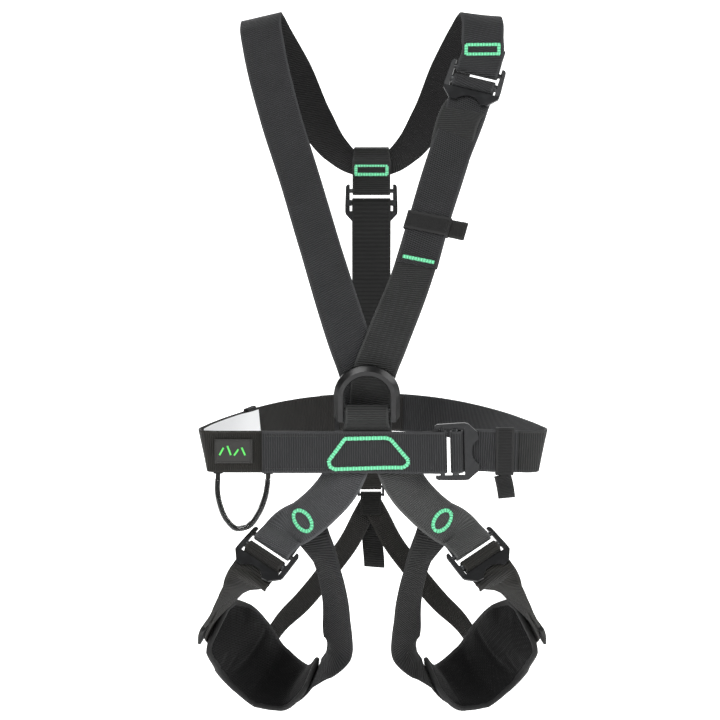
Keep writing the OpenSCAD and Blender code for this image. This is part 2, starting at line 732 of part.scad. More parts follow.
// Rear risers: a centre riser and a hanging tail folded round the two bars of a small link
link_y = 127;
link_top = -91;
link_bottom = -101;
link_r = 1.5;
fold_r = link_r + 0.7 + riser_t / 2;
module riser_centre() {
    route = [
        [[0, 133.5, 16], [1, 0, 0]],
        [[0, 131.6, -26], [1, 0, 0]],
        [[0, 130, -60], [1, 0, 0]],
        [[0, 129.8, -82], [1, 0, 0]],
        [[0, link_y + fold_r, link_top], [1, 0, 0]],
        [[0, link_y, link_top - fold_r], [1, 0, 0]],
        [[0, link_y - fold_r, link_top], [1, 0, 0]],
        [[0, 125.4, -82], [1, 0, 0]],
        [[0, 126.8, -62], [1, 0, 0]]
    ];
    color(inner_colour) strap(route, riser_w, riser_t, 2.2);
}
module riser_link() {
    inner = riser_w + 1.4;
    color(steel_colour)
        translate([0, link_y, (link_top + link_bottom) / 2]) {
            for (z = [-5, 5])
                translate([0, 0, z])
                    rotate([0, 90, 0]) cylinder(r = link_r, h = inner + 4, center = true, $fn = 32);
            for (side = [-1, 1])
                translate([side * (inner / 2 + 1.5), 0, 0]) cube([3, 3.4, 13.4], center = true);
        }
}
module riser_left() {
    color(inner_colour) strap(riser_left_route, riser_w, riser_t);
}
module riser_right() {
    color(inner_colour) strap(riser_right_route, riser_w, riser_t);
}
module riser_tail() {
    tail = [
        [[0, 118.6, -124], [1, 0, 0]],
        [[0, 119.8, -110], [1, 0, 0]],
        [[0, link_y - fold_r, link_bottom], [1, 0, 0]],
        [[0, link_y, link_bottom + fold_r], [1, 0, 0]],
        [[0, link_y + fold_r, link_bottom], [1, 0, 0]],
        [[0, 130.6, -112], [1, 0, 0]],
        [[1, 130.2, -130], [1, 0, 0]],
        [[2, 129, -160], [1, 0, -0.05]],
        [[4, 127, -185], [1, 0, -0.08]],
        [[4.2, 128.6, -191], [1, 0, -0.08]],
        [[4, 130.8, -185], [1, 0, -0.08]]
    ];
    color(inner_colour) strap(tail, riser_w, riser_t, 2.2);
}

// Gear loop
module gear_loop_tube() {
    color([0.75, 0.78, 0.78])
        difference() {
            cord(gear_loop_route, tube_d / 2, 12, 9);
            cord(gear_loop_bore, tube_cord_d / 2 + 0.9, 12, 9);
        }
}
gear_loop_bore = concat(
    [[[-163, -103.3, -27], [1, 0, 0]]],
    [for (i = [1 : len(gear_loop_route) - 2]) gear_loop_route[i]],
    [[[-110, -103.3, -27], [-1, 0, 0]]]
);
module gear_loop_cord() {
    color(inner_colour) cord(gear_loop_route, tube_cord_d / 2, 8, 9);
}
module gear_loop_tabs() {
    color(inner_colour)
        for (place = [[-163, -99.4], [-110, -101.4]])
            translate([place[0], place[1], -14.5]) cube([10, 1.8, 20], center = true);
}

front_belt();
waist_strap_left();
waist_strap_right();
back_overlap_patch();
inner_label();
name_patch();
side_keeper();
belt_stitching();
ring_saddle();
ventral_ring();
waist_buckle_frame();
waist_slide_bar();
waist_keeper();
waist_keeper_tail();
shoulder_strap_long();
shoulder_strap_front_right();
shoulder_stitching();
strap_end_stitching();
shoulder_keeper();
shoulder_buckle_frame();
shoulder_slide_bar();
back_yoke_loop();
yoke_stitching();
back_strap();
back_buckle_frame();
back_slide_bar();
leg_strap_left();
leg_strap_right();
leg_stitching_left();
leg_stitching_right();
leg_buckle_frame_left();
leg_buckle_frame_right();
leg_slide_bar_left();
leg_slide_bar_right();
thigh_adjuster_left();
thigh_adjuster_right();
thigh_strap_left();
thigh_strap_right();
thigh_pad_left();
thigh_pad_right();
pad_tail_loop_left();
pad_tail_loop_right();
riser_centre();
riser_link();
riser_left();
riser_right();
riser_tail();
gear_loop_tube();
gear_loop_cord();
gear_loop_tabs();
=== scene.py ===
"""Tree climbing saddle: webbing, thigh pads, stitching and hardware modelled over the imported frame.

Routes and hardware places are in millimetres, as in the part's source, and become metres in the meshes.
"""

import math

import bmesh
import bpy
import numpy as np
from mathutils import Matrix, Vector
from mathutils.bvhtree import BVHTree


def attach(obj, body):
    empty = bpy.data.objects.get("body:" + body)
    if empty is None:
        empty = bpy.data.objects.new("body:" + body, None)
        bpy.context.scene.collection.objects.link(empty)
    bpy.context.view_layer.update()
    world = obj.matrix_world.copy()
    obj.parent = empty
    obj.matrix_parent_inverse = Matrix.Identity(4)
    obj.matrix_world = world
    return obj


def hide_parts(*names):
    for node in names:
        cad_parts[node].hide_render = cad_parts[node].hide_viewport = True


bl_info = {
    "name": "Tree Climbing Saddle",
    "version": (1, 0, 0),
    "blender": (4, 5, 0),
    "location": "3D View > Sidebar > Saddle",
    "description": "Builds the webbing, pads, stitching and hardware finish of a tree climbing saddle",
    "category": "Object",
}

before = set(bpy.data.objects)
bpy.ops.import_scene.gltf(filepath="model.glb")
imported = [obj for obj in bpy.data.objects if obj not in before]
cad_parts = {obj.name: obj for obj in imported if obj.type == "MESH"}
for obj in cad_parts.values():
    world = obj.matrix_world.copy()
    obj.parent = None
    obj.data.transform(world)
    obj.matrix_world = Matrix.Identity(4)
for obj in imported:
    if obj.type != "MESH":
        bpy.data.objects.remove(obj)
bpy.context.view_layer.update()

MM = 0.001
WEBBING_WIDTH = 45.0
WEBBING_THICKNESS = 2.2
RISER_WIDTH = 25.0
RISER_THICKNESS = 1.8
PAD_THICKNESS = 8.0
PAD_HALF_WIDTH = 42
PAD_RING_STEP = 11
STRAP_CLEARANCE = 0.8
PAD_NET = 0.0032
FILL_FRAMES = 20
FABRIC = {
    "quality": 6,
    "mass": 0.3,
    "tension_stiffness": 40,
    "compression_stiffness": 40,
    "shear_stiffness": 20,
    "bending_stiffness": 2,
}
BINDING_HALF_THICKNESS = 2.5
BINDING_REACH = 5.4
TUBE_RADIUS = 3.8
CORD_RADIUS = 2.0
WHIPPING_RADIUS = 2.6
FLOOR_Z = -0.375
BACKDROP_RADIUS = 1.2
CAMERA_SPOT = (-0.0132, -1.7226, 0.3394)
CAMERA_PITCH = 8.5
FOCAL_LENGTH = 78.55


# Settings ------------------------------------------------------------------------------------------


def colour_setting(name, description, default):
    return bpy.props.FloatVectorProperty(
        name=name, description=description, subtype="COLOR", size=3, min=0.0, max=1.0, default=default
    )


def length_setting(name, description, default, low, high):
    return bpy.props.FloatProperty(
        name=name, description=description, subtype="DISTANCE", unit="LENGTH",
        min=low, max=high, default=default,
    )


class SADDLE_PG_webbing(bpy.types.PropertyGroup):
    """Colours and ribs of the webbing"""

    main_colour: colour_setting(
        "Main colour", "Colour of the front straps, the front belt and the leg straps",
        (0.026, 0.0266, 0.0278),
    )
    dark_colour: colour_setting(
        "Dark colour", "Colour of the inner belt, the adjusters and the rear risers",
        (0.0155, 0.0148, 0.0135),
    )
    rib_pitch: length_setting(
        "Rib pitch", "Distance between two ribs along a strap",
        0.0022, 0.001, 0.008,
    )


class SADDLE_PG_thread(bpy.types.PropertyGroup):
    """Colour and spacing of the contrast stitching"""

    colour: colour_setting("Thread colour", "Colour of the contrast thread", (0.16, 0.72, 0.38))
    pitch: length_setting(
        "Thread pitch", "Distance between two threads of a satin seam",
        0.0012, 0.0004, 0.003,
    )


class SADDLE_PG_pads(bpy.types.PropertyGroup):
    """Thigh pads"""

    pressure: bpy.props.FloatProperty(
        name="Pad pressure",
        description="How hard the padding pushes its fabric out",
        min=0.0,
        max=12.0,
        default=4.0,
    )
    swell_cap: length_setting(
        "Swell cap", "Farthest that a point of a pad's fabric may move",
        0.0035, 0.0, 0.01,
    )
    colour: colour_setting("Pad colour", "Colour of the pads' spacer fabric", (0.0024, 0.0024, 0.0025))


class SADDLE_PG_hardware(bpy.types.PropertyGroup):
    """Finish of the ring and the buckles"""

    buckle_colour: colour_setting(
        "Buckle colour", "Colour of the buckles' coating",
        (0.016, 0.0165, 0.0175),
    )
    edge_round: length_setting(
        "Edge rounding", "Radius of the hardware's broken edges",
        0.0006, 0.0, 0.002,
    )


class SADDLE_PG_stage(bpy.types.PropertyGroup):
    """Floor, light and camera"""

    floor_colour: colour_setting("Floor colour", "Colour of the pale floor", (0.90, 0.90, 0.90))
    backdrop_glow: bpy.props.FloatProperty(
        name="Backdrop glow",
        description="How brightly the white backdrop is lit from behind",
        min=0.0,
        max=2.0,
        default=0.75,
    )
    key_power: bpy.props.FloatProperty(
        name="Key light",
        description="Power of the large soft light above the front",
        unit="POWER",
        min=0.0,
        max=500.0,
        default=52.0,
    )


# Routes ----------------------------------------------------------------------------------------------
# A route is a list of stations: [[x, y, z], [width direction], width factor]. A place on a strap or a
# buckle is its spot, the direction along it and the direction across it.


def unit(v):
    return np.asarray(v, float) / np.linalg.norm(v)


def across(direction, along):
    direction = np.asarray(direction, float)
    return unit(direction - direction.dot(along) * along)


def concat(*lists):
    return [s for part in lists for s in part]


def path(*rows, width=None):
    """Stations from flat rows: the spot, the width direction unless one serves all, and a width factor."""
    if width:
        rows = [(*row[:3], *width, *row[3:]) for row in rows]
    return [[list(row[:3]), list(row[3:6]), *row[6:]] for row in rows]


def factor(s):
    return s[2] if len(s) > 2 else 1.0


def mirror_route(route):
    """The same route on the wearer's other side."""
    return [[[-s[0][0], s[0][1], s[0][2]], [-s[1][0], s[1][1], s[1][2]], factor(s)] for s in route]


def smooth(route, step):
    """Stations closer than step, on smooth cubic pieces whose slopes allow for the stations' spacing."""
    spots = [np.asarray(s[0], float) for s in route]
    gaps = [np.linalg.norm(b - a) for a, b in zip(spots, spots[1:])]
    slopes = [unit(spots[1] - spots[0])]
    for i in range(1, len(route) - 1):
        a, b = gaps[i - 1], gaps[i]
        slopes.append(((spots[i] - spots[i - 1]) * b / a + (spots[i + 1] - spots[i]) * a / b) / (a + b))
    slopes.append(unit(spots[-1] - spots[-2]))
    stations = []
    for i, h in enumerate(gaps):
        count = max(1, math.ceil(h / step))
        w0, w1 = np.asarray(route[i][1], float), np.asarray(route[i + 1][1], float)
        for k in range(count):
            t = k / count
            spot = (
                (2 * t**3 - 3 * t**2 + 1) * spots[i]
                + (t**3 - 2 * t**2 + t) * h * slopes[i]
                + (3 * t**2 - 2 * t**3) * spots[i + 1]
                + (t**3 - t**2) * h * slopes[i + 1]
            )
            width = factor(route[i]) * (1 - t) + factor(route[i + 1]) * t
            stations.append([spot, w0 * (1 - t) + w1 * t, width])
    stations.append([spots[-1], np.asarray(route[-1][1], float), factor(route[-1])])
    return stations


def framed(route, step):
    """Smooth stations with their three directions: along, across and out of the strap's face."""
    stations = smooth(route, step)
    rows = []
    for i, s in enumerate(stations):
        along = unit(stations[min(i + 1, len(stations) - 1)][0] - stations[max(i - 1, 0)][0])
        side = across(s[1], along)
        rows.append((s[0], along, side, np.cross(along, side), s[2]))
    return rows


def shifted(route, lift, step):
    """A route moved out of its strap's face by lift."""
    return [[list(spot + lift * up), list(side), width] for spot, _, side, up, width in framed(route, step)]


def axes(place):
    """A place's directions: across, along and out."""
    along = unit(place[1])
    side = across(place[2], along)
    return side, along, np.cross(side, along)


def inside(place, y, z):
    """The spot that is y along a place and z out of it."""
    _, along, out = axes(place)
    return list(np.asarray(place[0], float) + y * along + z * out)


FIXED_BAR_R = 2.5
SLIDE_BAR_R = 3.0
SLIDE_Y = 13.75
BAR_TRAVEL = 2.5
WRAP_R = SLIDE_BAR_R + 0.3 + WEBBING_THICKNESS / 2
LOOP_R = FIXED_BAR_R + 0.3 + WEBBING_THICKNESS / 2


def laid_in(place, flip, spots):
    """Stations at the (y, z) spots of a buckle, each with its width along the buckle's bars."""
    direction = list(axes(place)[0] * flip)
    return [[inside(place, y, z), direction] for y, z in spots]


def sewn_fold(place, flip, top_end, tail_end):
    """Webbing folded round a buckle's fixed bar, with both plies leading away from the plate."""
    turns = [math.pi * k / 6 for k in range(7)]
    spots = [(-top_end, 1.3), (-14, 1.7), (-6, 3.5)]
    spots += [(LOOP_R * math.sin(t), LOOP_R * math.cos(t)) for t in turns]
    return laid_in(place, flip, spots + [(-6, -3.5), (-14, -1.7), (-tail_end, -1.3)])


def threaded(place, flip, load_end, tail_end):
    """Webbing round a slide bar: the load ply comes in below, the tail ply leaves above it."""
    turns = [math.pi * k / 6 for k in range(4)]
    spots = [(load_end, -5.4), (24, -5.4), (14.5, -5.4), (10.6, -3.6)]
    spots += [(SLIDE_Y - WRAP_R * math.cos(t), WRAP_R * math.sin(t)) for t in turns]
    spots += [(SLIDE_Y + BAR_TRAVEL + WRAP_R * math.sin(t), WRAP_R * math.cos(t)) for t in turns]
    return laid_in(place, flip, spots + [(21.2, -2.0), (23.2, -2.95), (27, -2.95), (tail_end, -2.95)])


WAIST_BUCKLE = [[73, -110.5, 1], [1, 0, 0.03], [0, 0, -1]]
SHOULDER_BUCKLE = [[112, -24, 396], [-0.29, -0.37, -0.88], [-0.95, 0.2, 0.23]]
BACK_BUCKLE = [[0, 110, 264], [0, 0, -1], [1, 0, 0]]
LEG_BUCKLE_LEFT = [[-105, -108, -101], [-0.57, -0.57, -0.58], [-0.81, 0.37, 0.46]]
SHOULDER_STITCH_PLACE = [[117.5, -15.8, 419], [-0.03, -0.4, -0.9], [-0.955, 0.17, 0.215]]
KEEPER_PLACE = [[57.4, -87.7, 238], [-0.28, -0.32, -0.9], [-0.9, 0.38, 0.24]]
END_PLACE = [[47.4, -100.8, 202], [-0.27, -0.3, -0.91], [-0.9, 0.38, 0.24]]
YOKE_PLACE = [[0, 103.2, 289.6], [0, -0.69, 0.72], [1, 0, 0]]
WAIST_KEEPER_PLACE = [[138.5, -106.5, 1], [1, 0, 0], [0, 0, 1]]
SIDE_KEEPER_PLACE = [[-135, 21.5, 0], [0.47, 0.88, 0.05], [-0.1, 0, 1]]
FRONT_BELT_ROUTE = concat(
    path(
        (-116, -106.3, 0), (-60, -106.3, 0), (0, -106.3, 0), (8, -106.3, 0), (36, -109.4, 0),
        width=(0, 0, 1),
    ),
    sewn_fold(WAIST_BUCKLE, -1, 18, 20),
)
LEFT_BELT_ROUTE = path(
    (-72, -103.8, 0, 0, 0, 1), (-120, -103.8, 0, 0, 0, 1), (-152, -103.8, 0, -0.04, 0, 1),
    (-167, -103, 0, -0.1, 0, 1), (-176, -99.5, 0, -0.16, 0, 1), (-179, -90, 0, -0.2, 0, 1),
    (-174, -70, 0, -0.2, 0, 1), (-161, -34, 0, -0.18, 0, 1), (-145, 2, 0, -0.14, 0, 1),
    (-124, 42, 0, -0.1, 0.05, 1), (-96, 80, 0, -0.05, 0.08, 1), (-66, 106, 0, 0, 0.1, 1),
    (-44, 116, 0, 0, 0.1, 1),
)
RIGHT_BELT_ROUTE = concat(
    path(
        (-60, 112.4, 0, 0, 0.1, 1), (-40, 121, 0, 0, 0.1, 1), (0, 129, 0, 0, 0.1, 1),
        (40, 122, 0, 0, 0.1, 1), (74, 102, 0, 0, 0.1, 1), (102, 74, 0, 0.05, 0.08, 1),
        (126, 40, 0, 0.1, 0.05, 1), (147, 2, 0, 0.14, 0, 1), (162, -34, 0, 0.18, 0, 1),
        (175, -70, 0, 0.2, 0, 1), (180, -90, 0, 0.2, 0, 1), (177, -99.8, 0, 0.16, 0, 1),
        (168, -104, 0, 0.1, 0, 1), (154, -105, 0.5, 0.04, 0, 1), (128, -105.1, 1.2, 0, 0, 1),
    ),
    threaded(WAIST_BUCKLE, -1, 40, 40),
    path(
        (128, -107.9, 1.5, 0, 0, 1), (152, -107.9, 1, 0, 0, 1),
    ),
)
LONG_STRAP_ROUTE = concat(
    path(
        (-8, -92.2, -16, -1, 0, 0), (-8, -92.4, 36, -1, 0, 0), (-9, -94.6, 60, -1, -0.02, 0),
        (-13, -107.5, 86, -0.99, -0.06, -0.1), (-24, -110, 118, -0.97, -0.16, -0.2),
        (-53.5, -95, 211, -0.91, -0.38, -0.22), (-76, -67, 283, -0.91, -0.38, -0.22),
        (-98, -40, 350, -0.93, -0.3, -0.22), (-116, -13, 421, -0.95, -0.15, -0.24),
        (-120, -2, 446, -0.96, 0, -0.23), (-119.5, 10, 454.5, -0.96, 0.05, -0.22),
        (-118, 21, 452, -0.96, 0.05, -0.22), (-111, 36, 438, -0.95, 0.1, -0.3),
        (-89, 64, 398, -0.88, 0.15, -0.45), (-64, 88, 344, -0.7, 0.38, -0.6, 0.97),
        (-42, 100, 312, -0.45, 0.58, -0.68, 0.88), (-21, 105.5, 296, -0.12, 0.68, -0.73, 0.77),
        (0, 106.5, 293, 0, 0.7, -0.71, 0.77), (21, 105.5, 296, 0.12, 0.68, -0.73, 0.77),
        (42, 100, 312, 0.45, 0.58, -0.68, 0.88), (64, 88, 344, 0.7, 0.38, -0.6, 0.97),
        (88, 64, 400, 0.88, 0.15, -0.4), (108, 36, 441, 0.95, 0.1, -0.2),
        (115, 21, 454, 0.98, 0.05, -0.12), (117, 10, 456.5, 0.99, 0, -0.11),
        (118.5, -1, 449, 0.98, -0.05, -0.14), (118, -10, 432, 0.96, -0.15, -0.2),
    ),
    sewn_fold(SHOULDER_BUCKLE, -1, 19, 30),
)
RIGHT_STRAP_ROUTE = concat(
    path(
        (-2, -95.1, -16, 1, 0, 0), (-2, -95.2, 36, 1, 0, 0), (-1, -99, 60, 1, -0.02, 0),
        (2, -112.9, 86, 0.99, -0.06, -0.1), (14, -113.5, 118, 0.97, -0.16, -0.2),
        (40, -104, 184, 0.9, -0.38, -0.24), (57, -86, 237, 0.9, -0.38, -0.24),
        (80, -60, 306, 0.92, -0.32, -0.24), (94, -40, 352, 0.94, -0.24, -0.23),
    ),
    threaded(SHOULDER_BUCKLE, -1, 34, 44),
    path(
        (78, -65.6, 302, 0.92, -0.32, -0.24), (57.5, -89.3, 238, 0.9, -0.38, -0.24),
        (45.5, -102.8, 196, 0.9, -0.38, -0.24),
    ),
)
LEG_STRAP_ROUTE = concat(
    path(
        (-22.5, -98.6, 12, 0.97, 0, -0.24), (-25, -98.6, -12, 0.88, 0, -0.44),
        (-35, -98.8, -36, 0.76, -0.3, -0.55), (-53, -99, -58, 0.66, -0.42, -0.62),
        (-74, -98.5, -76, 0.66, -0.42, -0.62),
    ),
    sewn_fold(LEG_BUCKLE_LEFT, -1, 22, 22),
)
PAD_ROUTE = path(
    (-169, -55, -203, 0.44, 0.87, 0.2, 0.6), (-167, -48, -209, 0.46, 0.86, 0.22, 0.82),
    (-155, -22, -231, 0.55, 0.8, 0.26, 1), (-138, 7, -262, 0.55, 0.77, 0.34, 1.08),
    (-115, 18, -292, 0.41, 0.77, 0.48, 1.04), (-91, 9, -300, 0.38, 0.84, 0.38, 0.9),
    (-73, -12, -282, 0.3, 0.86, 0.42, 0.75), (-67, -20, -271, 0.27, 0.86, 0.44, 0.6),
)
PAD_OUTSIDE = shifted(PAD_ROUTE, -PAD_THICKNESS / 2 - WEBBING_THICKNESS / 2 - STRAP_CLEARANCE, PAD_RING_STEP)
UNDER_KNEE = 14
UNDER_KNEE_END = 0.1 * np.array(PAD_OUTSIDE[UNDER_KNEE][0]) + 0.9 * np.array(PAD_OUTSIDE[UNDER_KNEE + 1][0])
THIGH_ADJUSTER_ROUTE = concat(
    [[list(UNDER_KNEE_END), PAD_OUTSIDE[UNDER_KNEE][1]]],
    [[PAD_OUTSIDE[i][0], PAD_OUTSIDE[i][1]] for i in range(UNDER_KNEE, -1, -1)],
    path(
        (-163, -68, -186, 0.42, 0.88, 0.2), (-152, -82, -168, 0.5, 0.84, 0.1),
        (-144, -95, -156, 0.62, 0.76, -0.1), (-137, -106, -145, 0.72, 0.5, -0.36),
    ),
    threaded(LEG_BUCKLE_LEFT, -1, 40, 32),
    path(
        (-136, -113, -142, 0.72, 0.5, -0.36), (-147, -101, -155, 0.62, 0.76, -0.1),
        (-158, -88, -170, 0.5, 0.84, 0.1), (-169, -72, -188, 0.42, 0.88, 0.2),
    ),
)
THIGH_STRAP_ROUTE = concat(
    path(
        (-80, -87, -66, 0.8, -0.07, 0.58), (-75, -93.5, -77, 0.8, -0.1, 0.56),
        (-63, -91, -97, 0.66, -0.53, 0.5), (-49, -84, -129, 0.58, -0.79, 0.2),
        (-42, -74, -159, 0.56, -0.8, 0.2), (-39, -61, -188, 0.56, -0.8, 0.2),
        (-38, -49, -214, 0.62, -0.74, 0.22), (-39, -37, -238, 0.64, -0.74, 0.2),
        (-48, -27, -258, 0.3, -0.9, -0.1),
    ),
    [[spot, [-v for v in direction]] for spot, direction, _ in PAD_OUTSIDE[:UNDER_KNEE:-1]],
)
RISER_LEFT_ROUTE = path(
    (0, 127.9, -109.5, 0.94, 0.05, -0.33), (-10, 124.5, -127, 0.88, 0.06, -0.46),
    (-26, 115, -156, 0.86, 0.12, -0.5), (-46, 102, -181, 0.84, 0.2, -0.52),
    (-81, 74, -218, 0.8, 0.3, -0.5), (-106, 56, -239, 0.66, 0.55, -0.5),
    (-115.6, 50.6, -252, 0.5, 0.62, -0.6), (-122.3, 37.4, -267.3, 0.42, 0.7, -0.58),
)
GEAR_LOOP_ROUTE = path(
    (-163, -103.5, -29.5, 1, 0, 0), (-163.5, -104.8, -40, 1, 0, 0.1), (-161, -107, -55, 0.95, 0, 0.3),
    (-154, -108, -72, 0.8, 0, 0.6), (-143, -108, -82, 0.4, 0, 0.9), (-132, -108, -80, -0.4, 0, 0.9),
    (-121, -107.5, -67, -0.8, 0, 0.6), (-113, -106, -48, -0.95, 0, 0.3), (-110, -103.5, -29.5, -1, 0, 0),
)
SADDLE_ROUTE = path(
    (-6, -103.6, -8, 1.2), (-6, -103.6, 16, 1.2), (-6, -103.6, 24, 1.12), (-6, -108.8, 31.5, 1.02),
    (-6, -114.4, 38, 1), (-6, -116.4, 46, 1), (-6, -115.1, 49.1, 1), (-6, -112, 50.4, 1),
    (-6, -108.9, 49.1, 1), (-6, -107.6, 46, 1), (-6, -107.2, 38, 1), (-6, -103.4, 30, 1),
    (-6, -101.1, 21, 1), (-6, -101.1, 16, 1), (-6, -101.1, -8, 1),
    width=(1, 0, 0),
)
YOKE_ROUTE = concat(
    sewn_fold(BACK_BUCKLE, 1, 11, 12),
    path(
        (0, 107.5, 281), (0, 104, 289), (0, 96, 297.8), (0, 90.2, 304.6, 0.96), (0, 90, 311.2, 0.91),
        (0, 95.4, 313.6, 0.91), (0, 106, 304.2, 0.96), (0, 117, 290.6), (0, 122.8, 282.6), (0, 121, 278),
        (0, 114.6, 275.6),
        width=(1, 0, 0),
    ),
)
BACK_STRAP_ROUTE = concat(
    path(
        (0, 120.4, -16), (0, 120.4, 24), (0, 118.5, 80), (0, 110, 150), (0, 105, 205),
        width=(1, 0, 0),
    ),
    threaded(BACK_BUCKLE, 1, 40, 56),
)
TAIL_LOOP_ROUTE = path(
    (-180.4, -66, -198, 0.34, 0.9, 0.3), (-183.6, -60, -207, 0.34, 0.9, 0.34),
    (-184.8, -54, -216, 0.34, 0.86, 0.4),
)

# The right riser crosses in front of the left one and falls back behind it
RISER_RIGHT_ROUTE = [
    [[s[0][0], s[0][1] - 3.6 * max(0, min(1, 1.25 - i / 4)), s[0][2]], s[1]]
    for i, s in enumerate(mirror_route(RISER_LEFT_ROUTE))
]
BACK_PATCH_ROUTE = path(
    (-38, 119.2, 0), (-18, 124.6, 0), (0, 126.8, 0), (18, 125, 0), (38, 120.2, 0),
    width=(0, 0.1, 1),
)
LABEL_ROUTE = path(
    (-175.4, -84.6, 2, -0.2, 0, 1), (-168.8, -60.6, 2, -0.2, 0, 1), (-159, -34.8, 2, -0.18, 0, 1),
    (-145.8, -4.8, 2, -0.14, 0, 1),
    (-132.1, 18.2, 2, -0.12, 0, 1), (-126.6, 29, 2, -0.1, 0.02, 1),
)
WAIST_TAIL_ROUTE = path(
    (136.5, -108, -24.2), (138.5, -108.4, -32), (141.0, -108.6, -46), (141.3, -107, -48.5),
    (141.0, -105.4, -46), (138.5, -105.2, -32), (136.5, -105, -24.2),
    width=(1, 0, 0.1),
)
RISER_CENTRE_ROUTE = path(
    (0, 133.5, 16), (0, 131.6, -26), (0, 130, -60), (0, 129.8, -82), (0, 130.1, -91), (0, 127, -94.1),
    (0, 123.9, -91), (0, 125.4, -82), (0, 126.8, -62),
    width=(1, 0, 0),
)
RISER_TAIL_ROUTE = path(
    (0, 118.6, -124, 1, 0, 0), (0, 119.8, -110, 1, 0, 0), (0, 123.9, -101, 1, 0, 0),
    (0, 127, -97.9, 1, 0, 0), (0, 130.1, -101, 1, 0, 0), (0, 130.6, -112, 1, 0, 0),
    (1, 130.2, -130, 1, 0, 0), (2, 129, -160, 1, 0, -0.05), (4, 127, -185, 1, 0, -0.08),
    (4.2, 128.6, -191, 1, 0, -0.08), (4, 130.8, -185, 1, 0, -0.08),
)

# Meshes ----------------------------------------------------------------------------------------------


def metres(v):
    return Vector([float(x) * MM for x in v])


def new_piece(name, verts, faces, lay=None):
    """A mesh object in metres. lay is a point attribute that the weaves are drawn by."""
    name = name.replace(" ", "_")
    mesh = bpy.data.meshes.new(name)
    mesh.from_pydata([tuple(v) for v in verts], [], faces)
    if lay is not None:
        layer = mesh.attributes.new("lay", "FLOAT_VECTOR", "POINT")
        layer.data.foreach_set("vector", np.asarray(lay, float).ravel())
    mesh.polygons.foreach_set("use_smooth", [True] * len(mesh.polygons))
    piece = bpy.data.objects.new(name, mesh)
    bpy.context.scene.collection.objects.link(piece)
    return piece


def finish_piece(piece, material, body, replaces=()):
    """Gives a piece its material, its body and the CAD nodes that it stands for."""
    piece.data.materials.clear()
    piece.data.materials.append(material)
    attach(piece, body)
    if replaces:
        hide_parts(*replaces)


def on_harness(piece, material, slot_name, *replaces):
    finish_piece(piece, material, "harness", replaces)


def webbing(name, route, material, slot_name, *measures):
    """A strap on the harness that stands for the CAD node of its own name."""
    piece = strap(name, route, *measures)
    on_harness(piece, material, slot_name, name.lower().replace(" ", "_"))
    return piece


def contrast_seam(name, seams, width):
    """Satin stitching in the contrast thread that stands for the CAD node of its own name."""
    piece = satin_seam(name, seams, width, bpy.context.scene.saddle_thread.pitch / MM)
    on_harness(piece, contrast_thread(), "contrast_thread", name.lower().replace(" ", "_"))


def strap_section(width, thick, count):
    """A woven strap's closed section: flat faces, full round selvedges. Each row is (across, out)."""
    r = thick / 2
    flat = [-width / 2 + r + (width - 2 * r) * k / count for k in range(count + 1)]
    top = [(a, r) for a in flat]
    bottom = [(a, -r) for a in reversed(flat)]
    right = [(width / 2 - r + r * math.sin(t), r * math.cos(t)) for t in (0.8, 1.57, 2.34)]
    left = [(-width / 2 + r - r * math.sin(t), -r * math.cos(t)) for t in (0.8, 1.57, 2.34)]
    return top + right + bottom + left


def skin(base, rings, sides):
    """Faces between one ring of points and the next. base is the first ring's first point."""
    faces = []
    for start in range(base, base + (rings - 1) * sides, sides):
        for k in range(sides):
            a, b = start + k, start + (k + 1) % sides
            faces.append((a, b, b + sides, a + sides))
    return faces


def end_caps(rings, sides):
    return [tuple(reversed(range(sides))), tuple((rings - 1) * sides + k for k in range(sides))]


def swept(name, rows, section, closed=False):
    """Sweeps a section along framed rows. The lay attribute holds the length, the offset and the face."""
    m, verts, lay, length = len(section), [], [], 0.0
    for i, (spot, _, side, up, width) in enumerate(rows):
        if i:
            length += float(np.linalg.norm(spot - rows[i - 1][0]))
        for a, b in section:
            verts.append((spot + a * width * side + b * up) * MM)
            lay.append((length * MM, a * MM, 1.0 if b > 0 else -1.0))
    n, faces = len(rows), skin(0, len(rows), m)
    if closed:
        last = (n - 1) * m
        faces += [(last + k, last + (k + 1) % m, (k + 1) % m, k) for k in range(m)]
    else:
        faces += end_caps(n, m)
    piece = new_piece(name, verts, faces, lay)
    face_out(piece)
    return piece


def face_out(piece):
    """Turns a closed mesh's faces outwards."""
    shape = bmesh.new()
    shape.from_mesh(piece.data)
    bmesh.ops.recalc_face_normals(shape, faces=shape.faces)
    shape.to_mesh(piece.data)
    shape.free()


def strap(name, route, width=WEBBING_WIDTH, thick=WEBBING_THICKNESS, step=2.6, count=14):
    return swept(name, framed(route, step), strap_section(width, thick, count))


def circle(sides):
    """The cosine and sine of each corner of an even polygon."""
    return [(math.cos(2 * math.pi * k / sides), math.sin(2 * math.pi * k / sides)) for k in range(sides)]


def round_cord(name, route, radius, sides=16, step=2.0):
    return swept(name, framed(route, step), [(radius * c, radius * s) for c, s in circle(sides)])


def sleeve(name, place, half_width, half_thick, length, thick):
    """A band that goes round a strap: its path runs across the strap and back behind it."""
    side, along, out = axes(place)
    r = min(half_thick, 2.4)
    around = []
    for sx, sz, start in ((1, 1, 0), (1, -1, 1), (-1, -1, 2), (-1, 1, 3)):
        for k in range(5):
            turn = math.pi / 2 * (start + k / 4)
            x, z = sx * (half_width - r) + r * math.sin(turn), sz * (half_thick - r) + r * math.cos(turn)
            around.append((x, z))
    rows = []
    for i, (x, z) in enumerate(around):
        before, after = around[i - 1], around[(i + 1) % len(around)]
        heading = unit((after[0] - before[0]) * side + (after[1] - before[1]) * out)
        spot = np.asarray(place[0], float) + x * side + z * out
        rows.append((spot, heading, along, np.cross(heading, along), 1.0))
    return swept(name, rows, strap_section(length, thick, 8), closed=True)


